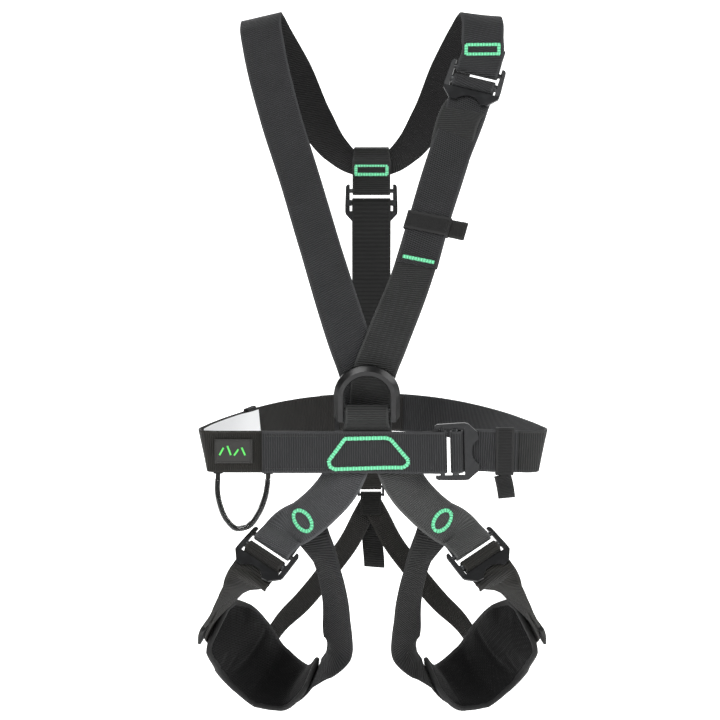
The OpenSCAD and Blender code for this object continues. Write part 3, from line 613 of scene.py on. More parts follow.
def surface_of(piece):
    """A lookup tree of a piece's faces, in the row frame."""
    shape = bmesh.new()
    shape.from_mesh(piece.data)
    tree = BVHTree.FromBMesh(shape)
    shape.free()
    return tree


def laid_point(tree, place, x, y, lift):
    """The point of a strap's face that lies under (x, y) of a place, raised by lift."""
    side, along, out = axes(place)
    start = np.asarray(place[0], float) + x * side + y * along + 14 * out
    hit, normal, _, _ = tree.ray_cast(metres(start), Vector(-out), 0.03)
    if hit is None:
        raise RuntimeError("a stitch lies beside its strap")
    if normal.dot(Vector(out)) < 0:
        normal = -normal
    return np.asarray(hit) / MM + lift * np.asarray(normal)


def outline_points(outline, pitch, closed):
    """Points at even steps along an outline, each with its direction."""
    points, carried = [], 0.0
    for a, b in zip(outline, outline[1:] + (outline[:1] if closed else [])):
        a, b = np.asarray(a, float), np.asarray(b, float)
        gap = np.linalg.norm(b - a)
        heading = (b - a) / gap
        at = carried
        while at < gap:
            points.append((a + heading * at, heading))
            at += pitch
        carried = at - gap
    return points


def satin_seam(name, seams, width, pitch):
    """Satin stitching: one thread after another laid across a seam line, over a strap's face.

    Each seam is (surface tree, place, outline, closed)."""
    verts, faces, lay, threads = [], [], [], 0
    sides, radius = 5, pitch * 0.62
    arch = [(-0.5, -0.15), (-0.46, 0.25), (-0.25, 0.52), (0.0, 0.6), (0.25, 0.52), (0.46, 0.25), (0.5, -0.15)]
    for tree, place, outline, closed in seams:
        side, along, out = axes(place)
        for (x, y), heading in outline_points(outline, pitch, closed):
            cross_line = np.array([-heading[1], heading[0]])
            line = heading[0] * side + heading[1] * along
            tone = 0.5 + 0.5 * math.sin(threads * 2.4)
            reach = width * (1.0 + 0.06 * math.sin(threads * 5.1))
            for share, rise in arch:
                px, py = np.array([x, y]) + cross_line * reach * share
                spot = laid_point(tree, place, px, py, rise * 0.9)
                for c, s in circle(sides):
                    verts.append((spot + radius * c * line + 0.45 * s * out) * MM)
                    lay.append((threads * pitch * MM, share, tone))
            faces += skin(threads * len(arch) * sides, len(arch), sides)
            threads += 1
    piece = new_piece(name, verts, faces, lay)
    face_out(piece)
    return piece


def box_of_bars(tree, place, x, y):
    """Satin seams for two long bars joined at their ends."""
    bars = [(tree, place, [(-x, v), (x, v)], False) for v in (-y, y)]
    return bars + [(tree, place, [(u, -y), (u, y)], False) for u in (0.6 - x, x - 0.6)]


def stitch_row(name, tree, place, outline, stitch=2.6, gap=0.9, radius=0.32):
    """A row of plain lockstitches: short rounded threads that dip into the webbing at both ends."""
    verts, faces, lay = [], [], []
    side, along, out = axes(place)
    sides = 6
    for n, ((x, y), heading) in enumerate(outline_points(outline, stitch + gap, False)):
        line = heading[0] * side + heading[1] * along
        flank = np.cross(out, line)
        base = len(verts)
        for share, rise in ((0.0, -0.25), (0.2, 0.16), (0.5, 0.24), (0.8, 0.16), (1.0, -0.25)):
            px, py = np.array([x, y]) + heading * stitch * share
            spot = laid_point(tree, place, px, py, rise)
            for c, s in circle(sides):
                verts.append((spot + radius * (c * flank + s * out)) * MM)
                lay.append((n * stitch * MM, share, 0.5))
        faces += skin(base, 5, sides)
    piece = new_piece(name, verts, faces, lay)
    face_out(piece)
    return piece


# Materials -------------------------------------------------------------------------------------------


class Nodes:
    """Short calls for a material's nodes."""

    def __init__(self, name):
        self.material = bpy.data.materials.new(name)
        self.material.use_nodes = True
        self.tree = self.material.node_tree
        self.shader = self.tree.nodes["Principled BSDF"]

    def add(self, kind, **values):
        made = self.tree.nodes.new(kind)
        for key, value in values.items():
            setattr(made, key, value)
        return made

    def link(self, source, target):
        self.tree.links.new(source, target)

    def math(self, operation, a, b=0.0):
        made = self.add("ShaderNodeMath", operation=operation)
        for socket, value in zip(made.inputs, (a, b)):
            if isinstance(value, (int, float)):
                socket.default_value = value
            else:
                self.link(value, socket)
        return made.outputs[0]

    def wave(self, value, pitch):
        """A smooth wave from 0 to 1 that repeats every pitch."""
        turned = self.math("MULTIPLY", value, 2 * math.pi / pitch)
        return self.math("MULTIPLY_ADD", self.math("SINE", turned), 0.5)

    def mix(self, share, a, b):
        made = self.add("ShaderNodeMix", data_type="RGBA")
        self.link(share, made.inputs["Factor"])
        for socket, value in ((made.inputs[6], a), (made.inputs[7], b)):
            if isinstance(value, tuple):
                socket.default_value = (*value[:3], 1.0)
            else:
                self.link(value, socket)
        return made.outputs[2]

    def noise(self, scale, detail=3.0):
        made = self.add("ShaderNodeTexNoise")
        made.inputs["Scale"].default_value = scale
        made.inputs["Detail"].default_value = detail
        self.link(self.add("ShaderNodeTexCoord").outputs["Object"], made.inputs["Vector"])
        return made.outputs["Fac"]

    def ramp(self, value, low, high):
        made = self.add("ShaderNodeMapRange")
        self.link(value, made.inputs["Value"])
        made.inputs["From Min"].default_value = low
        made.inputs["From Max"].default_value = high
        return made.outputs["Result"]

    def bump(self, height, strength, distance):
        made = self.add("ShaderNodeBump")
        made.inputs["Strength"].default_value = strength
        made.inputs["Distance"].default_value = distance
        self.link(height, made.inputs["Height"])
        self.link(made.outputs["Normal"], self.shader.inputs["Normal"])

    def set(self, **values):
        for key, value in values.items():
            socket = self.shader.inputs[key.replace("_", " ")]
            if hasattr(value, "is_output"):
                self.link(value, socket)
            else:
                socket.default_value = value


def shade(colour, share):
    return tuple(c * share for c in colour)


def lay_parts(n):
    """The lay attribute's length along the strap, offset across it and face."""
    lay = n.add("ShaderNodeAttribute", attribute_name="lay")
    parts = n.add("ShaderNodeSeparateXYZ")
    n.link(lay.outputs["Vector"], parts.inputs[0])
    return parts.outputs


def webbing_finish(name, colour, pitch, contrast=0.5, skew=0.0, half_width=0.0225, rough=0.72, inner=1.0):
    """Woven polyester: ribs across the strap, fine warp threads along it and a plain selvedge, with painted
    shade in the rib grooves.

    inner is the share of the colour that the face turned to the wearer keeps: painted shade on the strap's
    wearer side."""
    n = Nodes(name)
    length, offset, face = lay_parts(n)
    slanted = n.math("ADD", length, n.math("MULTIPLY", offset, skew))
    rib = n.wave(slanted, pitch)
    warp = n.wave(offset, 0.0011)
    crossed = n.math("MULTIPLY", n.math("MULTIPLY", rib, warp), 0.25)
    weave = n.math("ADD", n.math("MULTIPLY", rib, 0.75), crossed)
    edge = n.ramp(n.math("ABSOLUTE", offset), half_width - 0.0032, half_width - 0.0016)
    ribbed = n.math("MULTIPLY", weave, n.math("SUBTRACT", 1.0, edge))
    height = n.math("ADD", ribbed, n.math("MULTIPLY", edge, 0.8))
    mottled = n.mix(n.ramp(n.noise(38.0), 0.3, 0.7), shade(colour, 0.86), shade(colour, 1.14))
    wear = n.math("MULTIPLY", n.ramp(n.noise(240.0, 5.0), 0.55, 0.8), 0.35)
    worn = n.mix(wear, mottled, shade(colour, 1.7))
    # Painted shade in the rib grooves and painted light on the rib tops and selvedges: the colour follows the
    # rib height.
    low, high = shade(colour, max(0.0, 1.0 - contrast)), shade(colour, 1.0 + contrast * 0.6)
    rib_groove_shade = n.mix(n.ramp(height, 0.0, 1.0), low, high)
    half = n.add("ShaderNodeMix", data_type="RGBA")
    half.inputs["Factor"].default_value = 0.5
    n.link(worn, half.inputs[6])
    n.link(rib_groove_shade, half.inputs[7])
    # Painted shade: the face turned to the wearer is darkened to the share inner.
    wearer_face_shade = n.add("ShaderNodeMix", data_type="RGBA", blend_type="MULTIPLY")
    wearer_face_shade.inputs["Factor"].default_value = 1.0
    n.link(half.outputs[2], wearer_face_shade.inputs[6])
    n.link(n.mix(n.ramp(face, -0.2, 0.2), (inner, inner, inner * 0.94), (1.0, 1.0, 1.0)), wearer_face_shade.inputs[7])
    n.set(Base_Color=wearer_face_shade.outputs[2], Roughness=rough, Sheen_Weight=0.04, Sheen_Roughness=0.4)
    n.shader.inputs["Specular IOR Level"].default_value = 0.22
    n.bump(height, 1.0, 0.0009)
    return n.material


def thread_finish(name, colour):
    n = Nodes(name)
    _, share, tone = lay_parts(n)
    # Painted shade: each thread darkens towards its ends, where it dips into the webbing.
    rim = n.ramp(n.math("ABSOLUTE", share), 0.34, 0.5)
    lit = n.mix(tone, shade(colour, 0.5), shade(colour, 1.15))
    n.set(Base_Color=n.mix(rim, lit, shade(colour, 0.22)), Roughness=0.42, Sheen_Weight=0.2)
    n.bump(n.noise(2600.0, 2.0), 0.25, 0.0002)
    return n.material


def plain_thread_finish(name, colour):
    n = Nodes(name)
    n.set(Base_Color=n.mix(n.noise(900.0, 2.0), shade(colour, 0.8), shade(colour, 1.3)), Roughness=0.6)
    n.bump(n.noise(3000.0, 2.0), 0.3, 0.0002)
    return n.material


def spacer_fabric_finish(name, colour):
    """Close knitted mesh: small rows of cells over a soft mottled ground."""
    n = Nodes(name)
    place = n.add("ShaderNodeTexCoord").outputs["Object"]
    turned = n.add("ShaderNodeMapping")
    turned.inputs["Rotation"].default_value = (0.5, 0.7, 0.35)
    n.link(place, turned.inputs["Vector"])
    parts = n.add("ShaderNodeSeparateXYZ")
    n.link(turned.outputs[0], parts.inputs[0])
    rows = n.math("MULTIPLY", n.wave(parts.outputs[0], 0.0021), n.wave(parts.outputs[1], 0.0021))
    cells = n.math("MAXIMUM", rows, n.math("MULTIPLY", n.wave(parts.outputs[2], 0.0021), 0.6))
    ground = n.mix(n.ramp(n.noise(55.0), 0.3, 0.7), shade(colour, 0.8), shade(colour, 1.35))
    woven = n.mix(cells, ground, shade(colour, 2.1))
    n.set(Base_Color=woven, Roughness=0.9, Sheen_Weight=0.05, Sheen_Roughness=0.4)
    n.shader.inputs["Specular IOR Level"].default_value = 0.15
    n.bump(cells, 0.8, 0.0006)
    return n.material


def binding_finish(name, colour):
    n = Nodes(name)
    rib = n.wave(lay_parts(n)[0], 0.0013)
    n.set(Base_Color=n.mix(rib, shade(colour, 0.75), shade(colour, 1.3)), Roughness=0.7, Sheen_Weight=0.04)
    n.shader.inputs["Specular IOR Level"].default_value = 0.25
    n.bump(rib, 0.5, 0.0003)
    return n.material


def coated_steel_finish(name, colour, rough=0.36, metallic=0.55):
    """Dark coated metal: slight orange peel, handling marks and bare glints where it rubs."""
    n = Nodes(name)
    peel = n.noise(700.0, 2.0)
    marks = n.ramp(n.noise(60.0, 6.0), 0.52, 0.74)
    n.set(
        Base_Color=n.mix(marks, colour, shade(colour, 1.6)),
        Metallic=metallic,
        Roughness=n.math("ADD", rough, n.math("MULTIPLY", marks, 0.12)),
        Coat_Weight=0.15,
        Coat_Roughness=0.25,
    )
    n.bump(peel, 0.12, 0.0002)
    return n.material


def ring_finish(name, lean):
    """Anodised ring: grey on the flat faces and black on the slopes and the rim, a painted reflection that
    follows how each face is turned.
    """
    n = Nodes(name)
    # Painted reflection: faces turned like the ring's flat face get grey, the slopes and the rim get black.
    facing = n.add("ShaderNodeVectorMath", operation="DOT_PRODUCT")
    n.link(n.add("ShaderNodeTexCoord").outputs["Normal"], facing.inputs[0])
    facing.inputs[1].default_value = (0.0, math.cos(lean), math.sin(lean))
    flat = n.ramp(n.math("ABSOLUTE", facing.outputs["Value"]), 0.93, 0.975)
    marks = n.ramp(n.noise(80.0, 6.0), 0.5, 0.75)
    grey = n.mix(marks, (0.006, 0.006, 0.0063), (0.016, 0.016, 0.0165))
    n.set(
        Base_Color=n.mix(flat, (0.004, 0.004, 0.004), grey),
        Metallic=0.45,
        Roughness=n.math("ADD", 0.34, n.math("MULTIPLY", marks, 0.16)),
        Coat_Weight=0.2,
        Coat_Roughness=0.2,
    )
    n.bump(n.noise(900.0, 2.0), 0.08, 0.0002)
    return n.material


def clear_tube_finish(name):
    n = Nodes(name)
    haze = n.noise(140.0, 3.0)
    n.set(
        Base_Color=(0.93, 0.94, 0.93, 1.0),
        Roughness=n.math("MULTIPLY", n.ramp(haze, 0.3, 0.8), 0.16),
        IOR=1.38,
        Transmission_Weight=1.0,
    )
    n.bump(haze, 0.1, 0.0004)
    return n.material


def label_finish(name):
    n = Nodes(name)
    length, offset, _ = lay_parts(n)
    grain = n.math("MULTIPLY", n.wave(length, 0.0009), n.wave(offset, 0.0009))
    n.set(Base_Color=n.mix(grain, (0.80, 0.81, 0.82), (0.90, 0.91, 0.92)), Roughness=0.5)
    n.bump(grain, 0.3, 0.0002)
    return n.material


def badge_finish(name, colour, rough=0.5):
    n = Nodes(name)
    fine = n.noise(500.0, 3.0)
    n.set(Base_Color=n.mix(fine, shade(colour, 0.8), shade(colour, 1.25)), Roughness=rough)
    n.bump(fine, 0.25, 0.0002)
    return n.material


def backdrop_finish(name, colour, glow):
    n = Nodes(name)
    n.set(
        Base_Color=n.mix(n.noise(3.0, 2.0), shade(colour, 0.99), colour),
        Roughness=0.9,
        Emission_Color=(1.0, 1.0, 1.0, 1.0),
        Emission_Strength=glow,
    )
    n.shader.inputs["Specular IOR Level"].default_value = 0.1
    return n.material


FINISHES = {}


def finish(name, make, *values, **options):
    """Each finish is made once and shared."""
    if name not in FINISHES:
        FINISHES[name] = make(name, *values, **options)
    return FINISHES[name]


def main_webbing(kind):
    pg = bpy.context.scene.saddle_webbing
    # Each kind: tone, rib pitch, rib contrast, rib skew and inner. tone scales the main colour per strap as
    # painted light and shade: darker on the yoke, the back strap and the thigh straps, lighter on the leg
    # straps. inner is painted shade on the face turned to the wearer.
    tone, pitch, contrast, skew, inner = {
        "strap": (1.05, pg.rib_pitch, 1.0, 0.22, 0.07),
        "front": (1.05, pg.rib_pitch, 1.0, -0.22, 1.0),
        "yoke": (0.6, pg.rib_pitch, 0.9, 0.0, 1.0),
        "belt": (1.1, pg.rib_pitch * 1.1, 1.1, 0.0, 0.85),
        "back": (0.38, pg.rib_pitch * 2.2, 0.8, 0.0, 1.0),
        "thigh": (0.5, pg.rib_pitch * 1.35, 1.1, 0.0, 1.0),
        "leg": (2.3, pg.rib_pitch * 0.9, 0.7, 0.1, 1.0),
    }[kind]
    colour = shade(tuple(pg.main_colour), tone)
    return finish("webbing_" + kind, webbing_finish, colour, pitch, contrast, skew, inner=inner)


def dark_webbing(width=WEBBING_WIDTH):
    pg = bpy.context.scene.saddle_webbing
    name = "webbing_dark_%d" % width
    return finish(name, webbing_finish, tuple(pg.dark_colour), pg.rib_pitch, 0.7, 0.0, width * MM / 2, 0.66)


def contrast_thread():
    return finish("thread_contrast", thread_finish, tuple(bpy.context.scene.saddle_thread.colour))


def black_thread():
    return finish("thread_black", plain_thread_finish, (0.03, 0.03, 0.03))


def elastic():
    return finish("elastic", webbing_finish, (0.017, 0.017, 0.017), 0.0016, 0.6, 0.0, 0.0095, 0.7)


def badge_rubber():
    return finish("badge_rubber", badge_finish, (0.012, 0.0115, 0.010))


def coated_steel():
    pg = bpy.context.scene.saddle_hardware
    return finish("coated_steel", coated_steel_finish, tuple(pg.buckle_colour))


def polished_bar():
    return finish("bar_steel", coated_steel_finish, (0.035, 0.037, 0.039), 0.3, 0.6)


# Carried-over hardware ---------------------------------------------------------------------------------


def dress_node(node, material, rounding):
    """Keeps a metal CAD node, breaks its edges and gives it its finish."""
    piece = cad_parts[node]
    piece.data.materials.clear()
    piece.data.materials.append(material)
    weld = piece.modifiers.new("Weld", "WELD")
    weld.merge_threshold = 0.00001
    bevel = piece.modifiers.new("Broken edges", "BEVEL")
    bevel.width = rounding
    bevel.segments = 3
    bevel.limit_method = "ANGLE"
    bevel.angle_limit = math.radians(32)
    bevel.harden_normals = True


# Operators -------------------------------------------------------------------------------------------


class SADDLE_OT_belt(bpy.types.Operator):
    """Build the waist belt: front belt, both side straps, rear overlap, side keeper, label and badge"""

    bl_idname = "saddle.belt"
    bl_label = "Waist belt"

    def execute(self, context):
        webbing("Front belt", FRONT_BELT_ROUTE, main_webbing("belt"), "harness_webbing")
        webbing("Waist strap left", LEFT_BELT_ROUTE, dark_webbing(), "dark_webbing")
        webbing("Waist strap right", RIGHT_BELT_ROUTE, main_webbing("belt"), "dark_webbing")
        patch = strap("Rear overlap patch", BACK_PATCH_ROUTE, WEBBING_WIDTH - 4, 1.2)
        on_harness(patch, dark_webbing(41), "dark_webbing", "back_overlap_patch")
        keeper = sleeve("Side keeper", SIDE_KEEPER_PLACE, WEBBING_WIDTH / 2 + 2.3, 2.8, 18, 1.3)
        on_harness(keeper, elastic(), "dark_webbing", "side_keeper")
        cloth = finish("label_cloth", label_finish)
        webbing("Inner label", LABEL_ROUTE, cloth, "white_label", 38, 0.6, 2.0, 10)
        self.badge()
        self.badge_rim()
        self.rear_bar_tacks(patch)
        return {"FINISHED"}

    def badge(self):
        """A dark badge with a raised rim and a generic mark of green bars."""
        rows = [[[-166, -106.3, 1], [0, 0, 1]], [[-126, -106.3, 1], [0, 0, 1]]]
        plate = strap("Badge", rows, 26, 1.3, 2.0, 12)
        on_harness(plate, badge_rubber(), "dark_patch", "name_patch")
        green = finish("badge_green", badge_finish, (0.09, 0.62, 0.10), 0.4)
        bars = [(-158.5, 4.0, 9.0, 0.5), (-150.5, 5.0, 10.5, -0.35)]
        bars += [(-143.0, 3.0, 8.0, 0.6), (-135.5, 4.0, 9.0, -0.4)]
        for i, (x, z, length, lean) in enumerate(bars):
            reach = np.array([math.sin(lean), 0, math.cos(lean)]) * length / 2
            bar = np.array([x, -107.15, z - 3.0])
            across_bar = [math.cos(lean), 0, -math.sin(lean)]
            route = [[list(bar - reach), across_bar], [list(bar + reach), across_bar]]
            mark = strap("Badge bar %d" % (i + 1), route, 1.9, 0.7, 1.0, 4)
            on_harness(mark, green, "dark_patch")

    def badge_rim(self):
        """The raised rim round the badge."""
        x, z = 18.6, 11.6
        corners = [(-x, -z), (x, -z), (x, z), (-x, z), (-x, -z)]
        for i, ends in enumerate(zip(corners, corners[1:])):
            route = path(*[(-146 + x, -107.0, 1 + z, 0, 1, 0) for x, z in ends])
            bar = round_cord("Badge rim %d" % (i + 1), route, 0.55, 8, 3.0)
            on_harness(bar, badge_rubber(), "dark_patch")

    def rear_bar_tacks(self, patch):
        """Dark bar tacks that hold the overlap at the back."""
        tree = surface_of(patch)
        for i, x in enumerate((-14, 14)):
            place = [[x, 127.5, 0], [0, 0.1, 1], [-1, 0, 0]]
            tack = satin_seam("Rear tack %d" % (i + 1), [(tree, place, [(0, -14), (0, 14)], False)], 4.0, 1.3)
            on_harness(tack, black_thread(), "dark_webbing")


class SADDLE_OT_ring(bpy.types.Operator):
    """Build the ring's webbing saddle and finish the ventral ring"""

    bl_idname = "saddle.ring"
    bl_label = "Ventral ring"

    def execute(self, context):
        webbing("Ring saddle", SADDLE_ROUTE, main_webbing("belt"), "harness_webbing")
        steel = finish("ring_steel", ring_finish, math.radians(15))
        dress_node("ventral_ring", steel, 0.0005)
        return {"FINISHED"}


class SADDLE_OT_buckles(bpy.types.Operator):
    """Finish the five buckle frames, their slide bars and the rear link"""

    bl_idname = "saddle.buckles"
    bl_label = "Buckles"

    def execute(self, context):
        rounding = context.scene.saddle_hardware.edge_round
        frames = ["waist_buckle_frame", "shoulder_buckle_frame", "back_buckle_frame"]
        frames += ["leg_buckle_frame_left", "leg_buckle_frame_right"]
        for node in frames:
            dress_node(node, coated_steel(), rounding)
            dress_node(node.replace("buckle_frame", "slide_bar"), polished_bar(), rounding * 0.7)
        dress_node("riser_link", coated_steel(), 0.0004)
        return {"FINISHED"}


class SADDLE_OT_shoulders(bpy.types.Operator):
    """Build both shoulder straps with their stitching"""

    bl_idname = "saddle.shoulders"
    bl_label = "Shoulder straps"

    def execute(self, context):
        colour = main_webbing("strap"), main_webbing("front")
        long_strap = webbing("Shoulder strap long", LONG_STRAP_ROUTE, colour[0], "harness_webbing")
        short = webbing("Shoulder strap front right", RIGHT_STRAP_ROUTE, colour[1], "harness_webbing")
        bars = box_of_bars(surface_of(long_strap), SHOULDER_STITCH_PLACE, 18, 5.5)
        contrast_seam("Shoulder stitching", bars, 4.0)
        end = (surface_of(short), END_PLACE, [(-17, 0), (17, 0)], False)
        contrast_seam("Strap end stitching", [end], 4.2)
        return {"FINISHED"}


class SADDLE_OT_back(bpy.types.Operator):
    """Build the rear yoke loop and the back strap"""

    bl_idname = "saddle.back"
    bl_label = "Yoke and back strap"

    def execute(self, context):
        measures = WEBBING_WIDTH - 1, WEBBING_THICKNESS, 2.4
        yoke = webbing("Back yoke loop", YOKE_ROUTE, main_webbing("yoke"), "harness_webbing", *measures)
        webbing("Back strap", BACK_STRAP_ROUTE, main_webbing("back"), "harness_webbing")
        contrast_seam("Yoke stitching", box_of_bars(surface_of(yoke), YOKE_PLACE, 18.5, 6), 4.0)
        return {"FINISHED"}


class SADDLE_OT_belt_stitching(bpy.types.Operator):
    """Sew the large satin outline that holds the ring saddle, both shoulder straps and the front belt"""

    bl_idname = "saddle.belt_stitching"
    bl_label = "Belt stitching"

    def execute(self, context):
        tree = surface_of(bpy.data.objects["Front_belt"])
        place = [[0, -107, 0], [0, 0, 1], [1, 0, 0]]
        outline = [
            (-29, 14.6), (14, 15.6), (19, 14), (37, -7), (37, -11.8),
            (32, -15.6), (-40, -18), (-45, -15), (-46, -9),
        ]
        contrast_seam("Belt stitching", [(tree, place, outline, True)], 4.4)
        for name, z in (("Belt row top", 17.5), ("Belt row bottom", -17.5)):
            row = stitch_row(name, tree, place, [(-112, z), (-52, z)])
            on_harness(row, black_thread(), "dark_webbing")
        return {"FINISHED"}


class SADDLE_OT_legs(bpy.types.Operator):
    """Build both sides' leg straps, adjusters and inner thigh straps"""

    bl_idname = "saddle.legs"
    bl_label = "Leg straps"

    def execute(self, context):
        main = "harness_webbing"
        for side_name, sided in (("left", lambda r: r), ("right", mirror_route)):
            leg = webbing("Leg strap " + side_name, sided(LEG_STRAP_ROUTE), main_webbing("leg"), main)
            adjuster = sided(THIGH_ADJUSTER_ROUTE)
            webbing("Thigh adjuster " + side_name, adjuster, dark_webbing(), "dark_webbing")
            webbing("Thigh strap " + side_name, sided(THIGH_STRAP_ROUTE), main_webbing("thigh"), main)
            tree = surface_of(leg)
            flip = 1 if side_name == "left" else -1
            place = [[flip * -74, -99.8, -75.5], [flip * -0.74, 0, -0.68], [-0.62, flip * 0.42, flip * 0.66]]
            oval = [(13 * c, 8 * s) for c, s in circle(28)]
            contrast_seam("Leg stitching " + side_name, [(tree, place, oval, True)], 4.4)
        return {"FINISHED"}


def pad_mesh(name, route, inset, rows_step, count):
    """A pad's closed shell with rounded rims: across it runs knee edge to buttock edge."""
    rows = framed(route, rows_step)
    verts, spans = [], []
    half = PAD_THICKNESS / 2
    total = len(rows)
    for i, (spot, _, side, up, width) in enumerate(rows):
        from_end = min(i, total - 1 - i) * rows_step
        near = min(1.0, from_end / 26.0)
        cap = 0.80 + 0.20 * math.sqrt(max(0.0, 1 - (1 - near) ** 2))
        swell = min(1.0, 0.45 + 0.55 * math.sqrt(max(0.0, min(1.0, from_end / 6.0))))
        reach = PAD_HALF_WIDTH * width * cap - inset
        spans.append((spot, side, up, reach))
        section = []
        for k in range(count + 1):
            a = -reach + 2 * reach * k / count
            edge = min(1.0, (reach - abs(a)) / 7.0)
            lift = half * swell * (0.42 + 0.58 * math.sqrt(max(0.0, 1 - (1 - edge) ** 2)))
            section.append((a, lift))
        loop = section + [(a, -b) for a, b in reversed(section)]
        for a, b in loop:
            verts.append((spot + a * side + b * up) * MM)
    ring = 2 * (count + 1)
    piece = new_piece(name, verts, skin(0, total, ring) + end_caps(total, ring))
    face_out(piece)
    return piece, spans


def puffed(piece, pressure, cap):
    """Remeshes a pad evenly, lets a cloth pressure fill it and keeps each point's move under a cap."""
    scene = bpy.context.scene
    remesh = piece.modifiers.new("Net", "REMESH")
    remesh.mode = "VOXEL"
    remesh.voxel_size = PAD_NET
    apply_modifiers(piece)
    start = np.empty(len(piece.data.vertices) * 3)
    piece.data.vertices.foreach_get("co", start)
    cloth = piece.modifiers.new("Fill", "CLOTH")
    for key, value in FABRIC.items():
        setattr(cloth.settings, key, value)
    cloth.settings.use_pressure = True
    cloth.settings.uniform_pressure_force = pressure
    cloth.settings.effector_weights.gravity = 0.0
    cloth.point_cache.frame_start = 1
    cloth.point_cache.frame_end = FILL_FRAMES
    for step in range(1, FILL_FRAMES + 1):
        scene.frame_set(step)
    apply_modifiers(piece)
    scene.frame_set(1)
    end = np.empty_like(start)
    piece.data.vertices.foreach_get("co", end)
    moved = (end - start).reshape(-1, 3)
    length = np.linalg.norm(moved, axis=1, keepdims=True)
    moved *= np.minimum(1.0, cap / np.maximum(length, 1e-9))
    piece.data.vertices.foreach_set("co", (start.reshape(-1, 3) + moved).ravel())
    piece.data.update()


def apply_modifiers(piece):
    """Turns a piece's modifiers into its mesh."""
    graph = bpy.context.evaluated_depsgraph_get()
    made = bpy.data.meshes.new_from_object(piece.evaluated_get(graph))
    piece.modifiers.clear()
    old = piece.data
    piece.data = made
    bpy.data.meshes.remove(old)


def binding(name, spans):
    """Tape folded over a pad's rim, all the way round its outline."""
    ring = [(spot + side * reach, up) for spot, side, up, reach in spans]
    ring += [(spot - side * reach, up) for spot, side, up, reach in reversed(spans)]
    dense, rows = [], []
    for i, (spot, up) in enumerate(ring):
        after, up_after = ring[(i + 1) % len(ring)]
        count = max(1, int(np.linalg.norm(after - spot) / 3.0))
        for k in range(count):
            t = k / count
            dense.append((spot * (1 - t) + after * t, up * (1 - t) + up_after * t))
    for i in range(len(dense)):
        before, after = dense[i - 2][0], dense[(i + 2) % len(dense)][0]
        heading = unit(after - before)
        up = across(dense[i][1], heading)
        out = np.cross(heading, up)
        rows.append((dense[i][0], heading, out, up, 1.0))
    r, w = BINDING_HALF_THICKNESS, BINDING_REACH
    section = [(-w, r), (-w * 0.3, r + 0.15)]
    turns = np.linspace(0.3, math.pi - 0.3, 7)
    section += [(r * 0.75 * math.sin(t), (r + 0.15) * math.cos(t)) for t in turns]
    section += [(-w * 0.3, -r - 0.15), (-w, -r), (-w, -r + 1.0), (-w, r - 1.0)]
    flip = 1.0 if (dense[0][0] - np.mean([d[0] for d in dense], axis=0)).dot(rows[0][2]) > 0 else -1.0
    section = [(a * flip, b) for a, b in section]
    return swept(name, rows, section, closed=True)


class SADDLE_OT_pads(bpy.types.Operator):
    """Fill one thigh pad as cloth, copy it to the other side and bind both rims"""

    bl_idname = "saddle.pads"
    bl_label = "Thigh pads"

    def execute(self, context):
        pg = context.scene.saddle_pads
        fabric = finish("pad_mesh_fabric", spacer_fabric_finish, tuple(pg.colour))
        tape = finish("pad_binding", binding_finish, (0.0085, 0.0085, 0.0085))
        left, spans = pad_mesh("Thigh pad left", PAD_ROUTE, 1.0, 4.0, 26)
        puffed(left, pg.pressure, pg.swell_cap)
        even = left.modifiers.new("Even", "SUBSURF")
        even.levels = 1
        even.render_levels = 1
        apply_modifiers(left)
        left.data.polygons.foreach_set("use_smooth", [True] * len(left.data.polygons))
        right = bpy.data.objects.new("Thigh_pad_right", left.data.copy())
        context.scene.collection.objects.link(right)
        for vertex in right.data.vertices:
            vertex.co.x = -vertex.co.x
        right.data.flip_normals()
        for side_name, pad in (("left", left), ("right", right)):
            on_harness(pad, fabric, "pad_fabric", "thigh_pad_" + side_name)
            flip = 1 if side_name == "left" else -1
            turned = [(*(v * (flip, 1, 1) for v in span[:3]), span[3]) for span in spans]
            rim = binding("Pad binding " + side_name, turned)
            on_harness(rim, tape, "pad_fabric")
            route = TAIL_LOOP_ROUTE if flip == 1 else mirror_route(TAIL_LOOP_ROUTE)
            webbing("Pad tail loop " + side_name, route, elastic(), "keeper_elastic", 30, 4, 2.0, 10)
        return {"FINISHED"}


class SADDLE_OT_risers(bpy.types.Operator):
    """Build the rear risers and their hanging tail"""

    bl_idname = "saddle.risers"
    bl_label = "Rear risers"

    def execute(self, context):
        narrow = dark_webbing(25)
        tail = finish("webbing_tail", webbing_finish, (0.0045, 0.0045, 0.004), 0.0022, 0.7, 0.0, 0.0125, 0.66)
        for name, route, material in (
            ("Riser centre", RISER_CENTRE_ROUTE, narrow),
            ("Riser left", RISER_LEFT_ROUTE, narrow),
            ("Riser right", RISER_RIGHT_ROUTE, narrow),
            ("Riser tail", RISER_TAIL_ROUTE, tail),
        ):
            webbing(name, route, material, "dark_webbing", RISER_WIDTH, RISER_THICKNESS, 2.4, 10)
        return {"FINISHED"}


